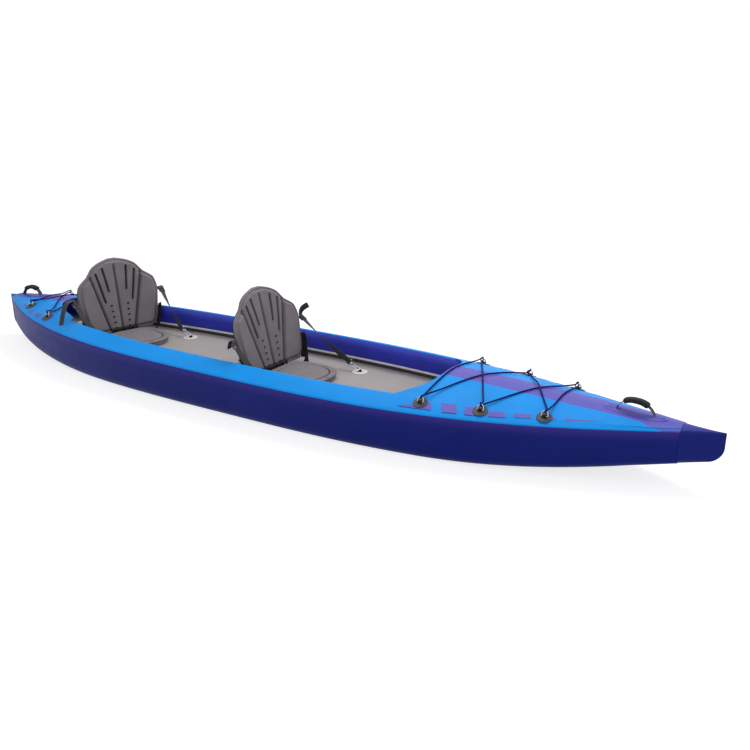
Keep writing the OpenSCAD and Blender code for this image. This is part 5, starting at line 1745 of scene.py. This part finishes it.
    def build_backing(self, low: float) -> None:
        """Makes the backing, a little wider than the foam, and the sleeves on the hinge roll with their
        straps.

        Args:
            low: the backrest's lower end.
        """
        made = Parts()
        v = low + (self.back_top - low) * np.linspace(0, 1, 61)
        y = self.backing_half(v)[:, None] * np.linspace(-1, 1, 41)
        behind = self.back_rear - FORM.bond_gap - self.backing_gap
        front = behind + self.wrap(y)
        vv = np.repeat(v[:, None], y.shape[1], 1)
        sheets = [self.back_world(np.stack([front - k, y, vv], -1)) for k in (0, self.backing_thickness)]
        made.add(*thick_sheet(*sheets))
        r, half = self.roll_r + self.sleeve_clear, self.sleeve_half
        out = r + self.sleeve_t
        a = round_angles(36)
        under, rear = low - 0.001 - self.sleeve_t, behind - self.backing_thickness
        for mid in self.sleeve_mids:
            rings = [np.stack([k * np.cos(a), np.full(len(a), mid + s), k * np.sin(a)], -1)
                     for k, s in ((r, -half), (out, -half), (out, half), (r, half))]
            p, f = loft(np.array(rings), closed=True)
            made.add(self.back_world(p), f)
            line = np.array([(-out + 0.001, mid, -0.002), (-out + 0.001, mid, under + 0.003),
                             (-out - 0.004, mid, under + 0.001), (rear + 0.004, mid, under + 0.001),
                             (rear + 0.001, mid, under + 0.004), (rear + 0.001, mid, low + 0.006)])
            strap = band(self.back_world(resample(line, 5)), self.across, 2 * half, self.sleeve_t)
            made.add(*strap[:2])
        node = f"{self.place.name}_backrest_backing"
        make_piece(f"{node}_panel", *made.mesh(), (BACKING,), self.body, (node,))

    @property
    def across(self) -> Array:
        """The seat's own width direction in the hull's frame."""
        a = math.radians(self.place.turn)
        return np.array([math.sin(a), math.cos(a), 0])

    # Pad, hinge roll and gussets

    def pad_line(self, a: Array) -> Array:
        """The pad's outline at given angles.

        Args:
            a: the angles.

        Returns:
            The outline's points.
        """
        c, s = np.cos(a), np.sin(a)
        n = np.where(c > 0, 2.3, 3.2)
        waist = 1 - 0.035 * np.abs(s) ** 8
        return np.stack([np.sign(c) * np.abs(c) ** (2 / n) * self.pad_length / 2,
                         np.sign(s) * np.abs(s) ** (2 / n) * self.pad_half_width * waist], -1)

    def build_pad(self) -> None:
        """Makes the pad, with its rolled rim, oval channel and crowned middle."""
        profile = resample(np.array(self.pad_stops), 5)
        a = round_angles(160)
        line = self.pad_line(a)
        mid = np.array([self.pad_rear + self.pad_length / 2, 0])
        turns = [np.abs(np.angle(np.exp(1j * (a - k)))) for k in np.radians(self.pad_rays)]
        seam = np.exp(-((np.minimum.reduce(turns) / 0.02) ** 2))
        rings, press = [], []
        for k, up, cut in profile:
            xy = mid + line * k
            outside = smooth((k - 0.8) / 0.03) * smooth((up - 0.6) / 0.2)
            z = up * self.pad_height + cut * self.pad_groove - self.pad_seam * seam * outside
            rings.append(np.column_stack([xy, z]))
            # Painted shade in the pad's groove and along its seams
            press.append(np.maximum(np.clip(-cut, 0, 1), 0.7 * seam * outside) * np.ones(len(a)))
        rings, press = np.array(rings), np.array(press)
        sag_x = self.pad_rear + np.array([0, 0.2, self.pad_length])
        rings[..., 2] *= np.interp(rings[..., 0], sag_x, (1, 0.97, 1))
        points, faces = loft(rings)
        node = f"{self.place.name}_seat_pad"
        pad = make_piece(f"{node}_cushion", self.seat_world(points), faces, (FOAM,), HULL, (node,),
                         values={"press": 0.8 * press.ravel()})

    def build_roll(self) -> None:
        """Makes the sewn hinge roll and its webs to the pad."""
        made = Parts()
        y = np.linspace(-1, 1, 49)
        squeeze = 1 - 0.35 * np.clip((np.abs(y) - 0.97) / 0.03, 0, 1)
        a = round_angles(24)
        rings = [np.stack([self.roll_r * s * np.cos(a), np.full(len(a), self.roll_half * k),
                           self.hinge_height + self.roll_r * s * np.sin(a)], -1) for k, s in zip(y, squeeze)]
        p, f = loft(np.array(rings))
        made.add(self.seat_world(p), f)
        drops = ((-0.001, 0.006), (0.003, 0.012), (0.006, 0.018), (self.pad_rear - 0.0012, 0.021))
        for mid in self.web_mids:
            line = resample(np.array([(x, mid, self.hinge_height - drop) for x, drop in drops]), 5)
            made.add(*band(self.seat_world(line), self.across, self.web_width, self.web_t)[:2])
        node = f"{self.place.name}_hinge_roll"
        make_piece(f"{node}_sewn", *made.mesh(), (BACKING,), HULL, (node,))

    def build_gussets(self) -> None:
        """Makes a fabric gusset on each side, shaped to the backrest's lean and left in the hull's frame."""
        node = f"{self.place.name}_side_gussets"
        for side in Side:
            v, low_v = self.gusset_top * self.back_top, self.outline[0][0] * self.back_top + self.gusset_low
            y = float(self.backing_half(v)) + self.gusset_out[0]
            low_y = float(self.backing_half(low_v)) + self.gusset_out[1]
            a = self.from_back(self.rear_point(y, v, -self.backing_thickness))
            b = self.from_back(self.rear_point(low_y, low_v, -self.backing_thickness))
            ahead, beside, share = self.gusset_fore
            c = np.array([self.pad_rear + ahead, self.pad_half_width + beside, self.pad_height * share])
            d = np.array([self.pad_rear + self.gusset_foot[0], self.pad_half_width + self.gusset_foot[1], 0])
            foot = self.to_bay(d * side.flip)
            d[2] = float(FORM.floor_top(self.place.x + foot[0]) - FORM.floor_top(self.place.x))
            past = np.array([self.back_thickness * self.swell + self.gusset_past, 0, 0])
            rows = [np.array(k) for k in ((b, a), (b + past, a + past), (d, c))]
            t = np.linspace(0, 1, 9)[:, None]
            line = np.stack([resample(np.array([r[k] for r in rows]), 8) for k in (0, 1)])
            grid = np.array([line[0] * (1 - k) + line[1] * k for k in t])
            grid[..., 1] += self.gusset_bulge * np.sin(np.linspace(0, math.pi, 9))[:, None]
            sheets = [self.seat_world((grid + (0, k, 0)) * side.flip) for k in (self.gusset_thickness, 0)]
            points, faces = thick_sheet(*sheets)
            piece = make_piece(f"{node}_{side.name.lower()}", points, faces, (BACKING,), HULL,
                               (node,) if side is Side.PORT else (), rides=False)
            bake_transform(piece)

    # Straps

    def strap_lift(self, fore: bool) -> float:
        """A strap's rise from its anchor, in radians."""
        return math.radians(self.lift_fore if fore else self.lift_aft)

    def hook_point(self, fore: bool, u: float, y: float) -> Array:
        """A place near a hook's eye, along and beside its strap, in the mirrored bay.

        Args:
            fore: whether it is a front hook.
            u: distance along the strap.
            y: distance beside it.

        Returns:
            The place.
        """
        anchor = self.anchor_fore if fore else self.anchor_aft
        lift = self.strap_lift(fore)
        along = np.array([math.cos(lift), 0, math.sin(lift)])
        step = float(FORM.floor_top(self.place.x + anchor[0]) - FORM.floor_top(self.place.x))
        base = np.array([anchor[0], anchor[1], step + FITTING.bar_height])
        slack = self.hook_eye_r - self.hook_wire_r - FITTING.rod / 2 - self.hook_clear
        return base + along * (FITTING.bow + slack + self.hook_length + u) + (0, y, 0)

    def buckle(self, side: Side) -> tuple[Array, Array, Array]:
        """A buckle's middle, direction and face, in the mirrored bay.

        Args:
            side: the buckle's side.

        Returns:
            The place and the two directions.
        """
        v = self.buckle_height if side is Side.PORT else self.place.slack_height
        y = float(self.half(v)) + self.buckle_out
        at = self.back_to_side(self.rear_point(y, v, self.buckle_ahead), side)
        taut = side is Side.PORT
        start = self.hook_point(True, self.loop_tail, self.loop_r) if taut else self.slack_stops()[1]
        along = unit(at - start)
        return at, along, unit(np.cross((0, 1.0, 0), along))

    def slack_stops(self) -> tuple[Array, Array]:
        """The two points that draw the slack strap down along the floor's edge."""
        y = float(FORM.inner_y(self.place.x + self.slack_ahead)) - self.slack_clear
        return (np.array([self.anchor_fore[0] / 2, y, self.slack_lift]),
                np.array([self.slack_ahead, y, self.slack_lift]))

    def strap_line(self, fore: bool, run: Array) -> tuple[Array, Array]:
        """The sewn loop round a hook's eye and the strap's run, with the width's directions.

        Args:
            fore: whether it is a front strap.
            run: the run's points.

        Returns:
            The route and the width directions.
        """
        r = self.loop_r
        a = np.radians(np.linspace(-90, -270, 9))
        loop = np.array([self.hook_point(fore, self.loop_tail, -r)]
                        + [self.hook_point(fore, r * math.cos(k), r * math.sin(k)) for k in a])
        lift = self.strap_lift(fore)
        edge_on = np.array([-math.sin(lift), 0, math.cos(lift)])
        t = math.pi / 2 * np.maximum(0, np.linspace(0, 1, len(run)) - 0.2)[:, None] / 0.8
        turn = edge_on * np.cos(t) + np.array([0, 1.0 if fore else -1.0, 0]) * np.sin(t)
        return np.vstack([loop, run]), np.vstack([np.tile(edge_on, (len(loop), 1)), turn])

    def build_straps(self) -> None:
        """Makes the front and rear straps, shaped to the backrest's lean and left in the hull's frame."""
        t = np.linspace(0, 1, 41)[:, None]
        for fore in (True, False):
            node = f"{self.place.name}_seat_{'front' if fore else 'rear'}_straps"
            for side in Side:
                start = self.hook_point(fore, self.loop_tail, self.loop_r)
                if fore:
                    at, along, _ = self.buckle(side)
                    top = at - along * (self.buckle_length / 2 + 0.001)
                    p, q = self.slack_stops()
                    slack = (start * (1 - t) ** 3 + p * 3 * t * (1 - t) ** 2 + q * 3 * t**2 * (1 - t)
                             + top * t**3)
                    taut = start + (top - start) * t - np.array([0, 0, self.taut_sag]) * np.sin(math.pi * t)
                    run = taut if side is Side.PORT else slack
                else:
                    y = self.anchor_aft[1] + self.rear_strap_out
                    out = -self.backing_thickness - self.rear_strap_gap
                    top = self.back_to_side(self.rear_point(y, self.rear_strap_height, out), side)
                    run = start + (top - start) * t - np.array([self.rear_bow, 0, 0]) * np.sin(math.pi * t)
                route, widths = self.strap_line(fore, run)
                points, faces, flat = band(self.side_world(route, side), widths * side.flip,
                                           self.webbing_width, self.webbing_thickness)
                piece = make_piece(f"{node}_{side.name.lower()}", points, faces, (BLACK_WEBBING,), HULL,
                                   (node,) if side is Side.PORT else (), flat=flat, rides=False)
                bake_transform(piece)

    def build_tails(self) -> None:
        """Makes the loose strap tails past the buckles."""
        rear = self.place.name == "rear"
        routes = {
            (Side.PORT, False): (((4, 6, 26), (20, 14, 46), (40, 24, 58)), (0.73, 0.21, -0.59)),
            (Side.STARBOARD, False): (((-20, -2, -4), (-34, -6, -26), (-40, -8, -52)), (0, 1, 0)),
            (Side.PORT, True): (((-20, -6, -4), (-34, -16, -32), (-40, -24, -64)), (0, 1, 0)),
            (Side.STARBOARD, True): (((-6, 28, 6), (8, 68, 0), (22, 104, -34), (34, 132, -76),
                                      (42, 150, -108)), (1, -0.25, 0)),
        }
        node = f"{self.place.name}_strap_tails"
        made = Parts()
        for side in Side:
            stops, end_width = routes[(side, rear)]
            at, along, face = self.buckle(side)
            start = at + face * (self.buckle_t / 2 + self.webbing_thickness / 2 + self.tail_gap)
            past = start + along * (self.buckle_length / 2 + self.tail_past) + face * self.tail_off
            points = np.vstack([start, past, past + np.array(stops) * MM])
            share = np.minimum(1, np.maximum(0, np.arange(len(points)) - 1) / 2)[:, None]
            widths = np.array([0, 1.0, 0]) * (1 - share) + np.array(end_width) * share
            route, turned = resample(points, 7), resample(widths, 7)
            made.add(*band(self.side_world(route, side), turned * side.flip, self.webbing_width,
                           self.webbing_thickness))
        tails = make_piece(f"{node}_webbing", *made.mesh(), (BLACK_WEBBING,), self.body, (node,),
                           flat=np.vstack(made.flat), rides=not rear)
        if rear:
            # The long tail's end lies on the gunwale and stays there
            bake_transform(tails)

    def build(self) -> None:
        """Makes the whole seat."""
        self.build_pad()
        self.build_roll()
        self.build_backrest()
        self.build_gussets()
        self.build_straps()
        self.build_tails()


SEATS = (Seat(SeatPlace("front", -0.020, -0.042, 1.5, 13.0, 0.185)),
         Seat(SeatPlace("rear", -1.295, 0.024, 16.0, 8.0, 0.195)))


@dataclass
class FloorAnchors:
    """Pale patches with sewn tabs that hold the seats' rings."""

    patch_d: float = 0.089

    def build(self) -> None:
        """Makes the patches and the tabs."""
        patches, tabs = Parts(), Parts()
        for seat in SEATS:
            for fore in (True, False):
                for side in Side:
                    anchor = seat.anchor_fore if fore else seat.anchor_aft
                    x = seat.place.x + anchor[0]
                    pitch = math.atan(slope_at(FORM.floor_top, x))
                    along = np.array([math.cos(pitch), 0, math.sin(pitch)])
                    up = np.array([-math.sin(pitch), 0, math.cos(pitch)])
                    z = float(FORM.floor_top(x)) + FORM.bond_gap + FITTING.bar_height
                    at = np.array([x, anchor[1], z]) - up * FITTING.bar_height
                    for made, (p, f) in ((patches, FITTING.disc(self.patch_d)), (tabs, FITTING.tab())):
                        turned = at + p[:, :1] * (0, 1, 0) - p[:, 1:2] * along + p[:, 2:] * up
                        made.add(turned * side.flip, f)
        make_piece("floor_anchor_discs", *patches.mesh(), (PALE_PVC,), HULL,
                   ("floor_anchor_patches",))
        make_piece("floor_anchor_sewn_tabs", *tabs.mesh(), (BACKING,), HULL,
                   ("floor_anchor_tabs",))


@dataclass
class HardParts:
    """The rigid CAD pieces that show as they are: wire, buckles, valves and skeg box."""

    bevel: float = 0.0006
    sharp: float = math.radians(32)

    def build(self) -> None:
        """Gives each rigid node its finish, and moulded ones a soft edge."""
        for name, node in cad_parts.items():
            finish = self.finish(name)
            if finish is None:
                continue
            node.data.materials.clear()
            node.data.materials.append(finish.material())
            node.data.polygons.foreach_set("use_smooth", np.ones(len(node.data.polygons), bool))
            node.data.set_sharp_from_angle(angle=self.sharp)
            if finish is BLACK_ACETAL:
                soft = node.modifiers.new("soft_edge", "BEVEL")
                soft.width, soft.segments, soft.limit_method = self.bevel, 2, "ANGLE"
            LOG.info("%s: %s", name, finish.name)

    def finish(self, name: str) -> Optional[Finish]:
        """The finish of a rigid node, or none for a soft one.

        Args:
            name: the node.

        Returns:
            The finish.
        """
        if "d_rings" in name or "hooks" in name or "gate" in name:
            return STEEL
        if "buckles" in name or name == "skeg_box":
            return BLACK_ACETAL
        if name.endswith("valve_body"):
            return GREY_ABS
        return WHITE_ABS if name.endswith(("valve_cap", "valve_stem")) else None


@dataclass
class Studio:
    """Camera, pale floor and soft light."""

    eye: tuple[float, float, float] = (2.920, -3.736, 1.7467)
    look: tuple[float, float, float] = (-0.49842, 0.80273, -0.32742)
    lens: float = 42.34
    sky: float = 0.50
    floor_share: float = 0.50
    floor_glow: float = 0.76
    floor_half: float = 60.0
    floor_z: float = -0.001
    lit_point: tuple[float, float, float] = (0.1, 0, 0.1)

    def build_camera(self) -> None:
        """Sets the camera where the photograph was taken from."""
        data = bpy.data.cameras.new("camera")
        data.lens, data.sensor_width, data.clip_end = self.lens, 36.0, 200.0
        camera = bpy.data.objects.new("camera", data)
        camera.location = self.eye
        camera.rotation_euler = Vector(self.look).to_track_quat("-Z", "Y").to_euler()
        bpy.context.scene.collection.objects.link(camera)
        bpy.context.scene.camera = camera

    def seen_directly(self, tree: Tree) -> Socket:
        """One for what the camera, gloss or glass sees, and nothing for plain lighting.

        Args:
            tree: the node tree.

        Returns:
            The value's socket.
        """
        path = add_node(tree, "LightPath").outputs
        seen = path["Is Camera Ray"]
        for ray in ("Is Glossy Ray", "Is Transmission Ray"):
            seen = add_node(tree, "Math", {0: seen, 1: path[ray]}, operation="MAXIMUM").outputs[0]
        return seen

    def build_floor(self) -> None:
        """Lays a pale floor that is white to the eye and keeps the object's shadow."""
        mesh = bpy.data.meshes.new("studio_floor")
        s, z = self.floor_half, self.floor_z
        mesh.from_pydata([(-s, -s, z), (s, -s, z), (s, s, z), (-s, s, z)], [], [(0, 1, 2, 3)])
        floor = bpy.data.objects.new("studio_floor", mesh)
        bpy.context.scene.collection.objects.link(floor)
        paint = bpy.data.materials.new("matte_white_floor")
        paint.use_nodes = True
        tree = paint.node_tree
        tree.nodes.clear()
        seen = self.seen_directly(tree)
        glow = add_node(tree, "Math", {0: seen, 1: self.floor_glow}, operation="MULTIPLY")
        shade = add_node(tree, "BsdfDiffuse", {"Color": (self.floor_share,) * 3 + (1,)})
        light = add_node(tree, "Emission", {"Color": (1, 1, 1, 1), "Strength": glow.outputs[0]})
        both = add_node(tree, "AddShader", {0: shade.outputs[0], 1: light.outputs[0]})
        add_node(tree, "OutputMaterial", {"Surface": both.outputs[0]})
        mesh.materials.append(paint)

    def build_light(self) -> None:
        """Hangs a soft light overhead and one before the near side, under an even sky."""
        world = bpy.data.worlds.new("studio_sky")
        bpy.context.scene.world = world
        world.use_nodes = True
        tree = world.node_tree
        tree.nodes.clear()
        seen = self.seen_directly(tree)
        level = add_node(tree, "MapRange", {"Value": seen, "To Min": self.sky, "To Max": 1.0})
        sky = add_node(tree, "Background", {"Color": (1, 1, 1, 1), "Strength": level.outputs["Result"]})
        add_node(tree, "OutputWorld", {"Surface": sky.outputs[0]})
        for name, at, size, watts in (("overhead", (0.4, 1.7, 3.6), (4.6, 1.3), 84.0),
                                      ("front_fill", (2.6, -4.2, 2.6), (3.0, 2.0), 16.0)):
            data = bpy.data.lights.new(name, "AREA")
            data.shape, data.size, data.size_y, data.energy = "RECTANGLE", size[0], size[1], watts
            lamp = bpy.data.objects.new(name, data)
            lamp.location = at
            lamp.rotation_euler = (Vector(self.lit_point) - Vector(at)).to_track_quat("-Z", "Y").to_euler()
            bpy.context.scene.collection.objects.link(lamp)
        bpy.context.scene.view_settings.view_transform = "Standard"

    def build(self) -> None:
        """Makes the floor and the light."""
        self.build_floor()
        self.build_light()


BOW_DASHES = (
    ((0.968, 0.037), (1.133, 0.037), (0.968, 0.0375), (1.110, 0.090)),
    ((1.185, 0.033), (1.255, 0.034), (1.154, 0.095), (1.227, 0.094)),
    ((1.290, 0.033), (1.352, 0.034), (1.267, 0.088), (1.330, 0.086)),
    ((1.397, 0.035), (1.468, 0.038), (1.382, 0.073), (1.454, 0.071)),
    ((1.505, 0.044), (1.577, 0.045), (1.496, 0.073), (1.566, 0.072)),
    ((1.620, 0.044), (1.681, 0.044), (1.612, 0.062), (1.675, 0.060)),
    ((1.719, 0.042), (1.874, 0.0515), (1.713, 0.060), (1.874, 0.052)),
)
STERN_DASHES = (
    ((-1.620, 0.036), (-1.690, 0.036), (-1.600, 0.074), (-1.670, 0.072)),
    ((-1.735, 0.034), (-1.800, 0.034), (-1.720, 0.066), (-1.785, 0.064)),
    ((-1.850, 0.034), (-1.905, 0.035), (-1.840, 0.060), (-1.895, 0.058)),
    ((-1.985, 0.038), (-2.090, 0.042), (-1.975, 0.056), (-2.090, 0.0425)),
)
BOW_STRIPE = ((1.0, 0.078), (1.7, 0.077), (1.85, 0.072), (1.95, 0.068), (2.02, 0.072), (2.06, 0.090),
              (2.3, 0.1))
STERN_STRIPE = ((-1.7, 0.070), (-1.9, 0.060), (-2.05, 0.052), (-2.16, 0.044), (-2.27, 0.030), (-2.32, 0.026))


def main() -> None:
    """Builds the sub-assemblies in order and reports each piece."""
    logging.basicConfig(level=logging.INFO, format="%(name)s %(message)s")
    studio = Studio()
    studio.build_camera()
    DeckRigging().build()
    for side in Side:
        SideChamber(side).build()
    FloorChamber().build()
    Deck(End.BOW, 1.040, 0.130, BOW_CAP_X, BOW_STRIPE, BOW_DASHES).build()
    Deck(End.STERN, -1.740, 0.300, STERN_CAP_X, STERN_STRIPE, STERN_DASHES).build()
    NoseCap(End.BOW, BOW_CAP_X, 0.180, 0.060, 0.062).build()
    NoseCap(End.STERN, STERN_CAP_X, 0.180, 0.026, 0.022).build()
    handles = (CarryHandle(End.BOW, 1.973), CarryHandle(End.STERN, -2.136))
    patches = Parts()
    for handle in handles:
        handle.build()
        patches.add(*handle.patch())
    make_piece("handle_patch_ovals", *patches.mesh(), (VIOLET,), HULL, ("handle_patches",))
    FloorAnchors().build()
    for seat in SEATS:
        seat.build()
    HardParts().build()
    studio.build()


if __name__ == "__main__":
    main()
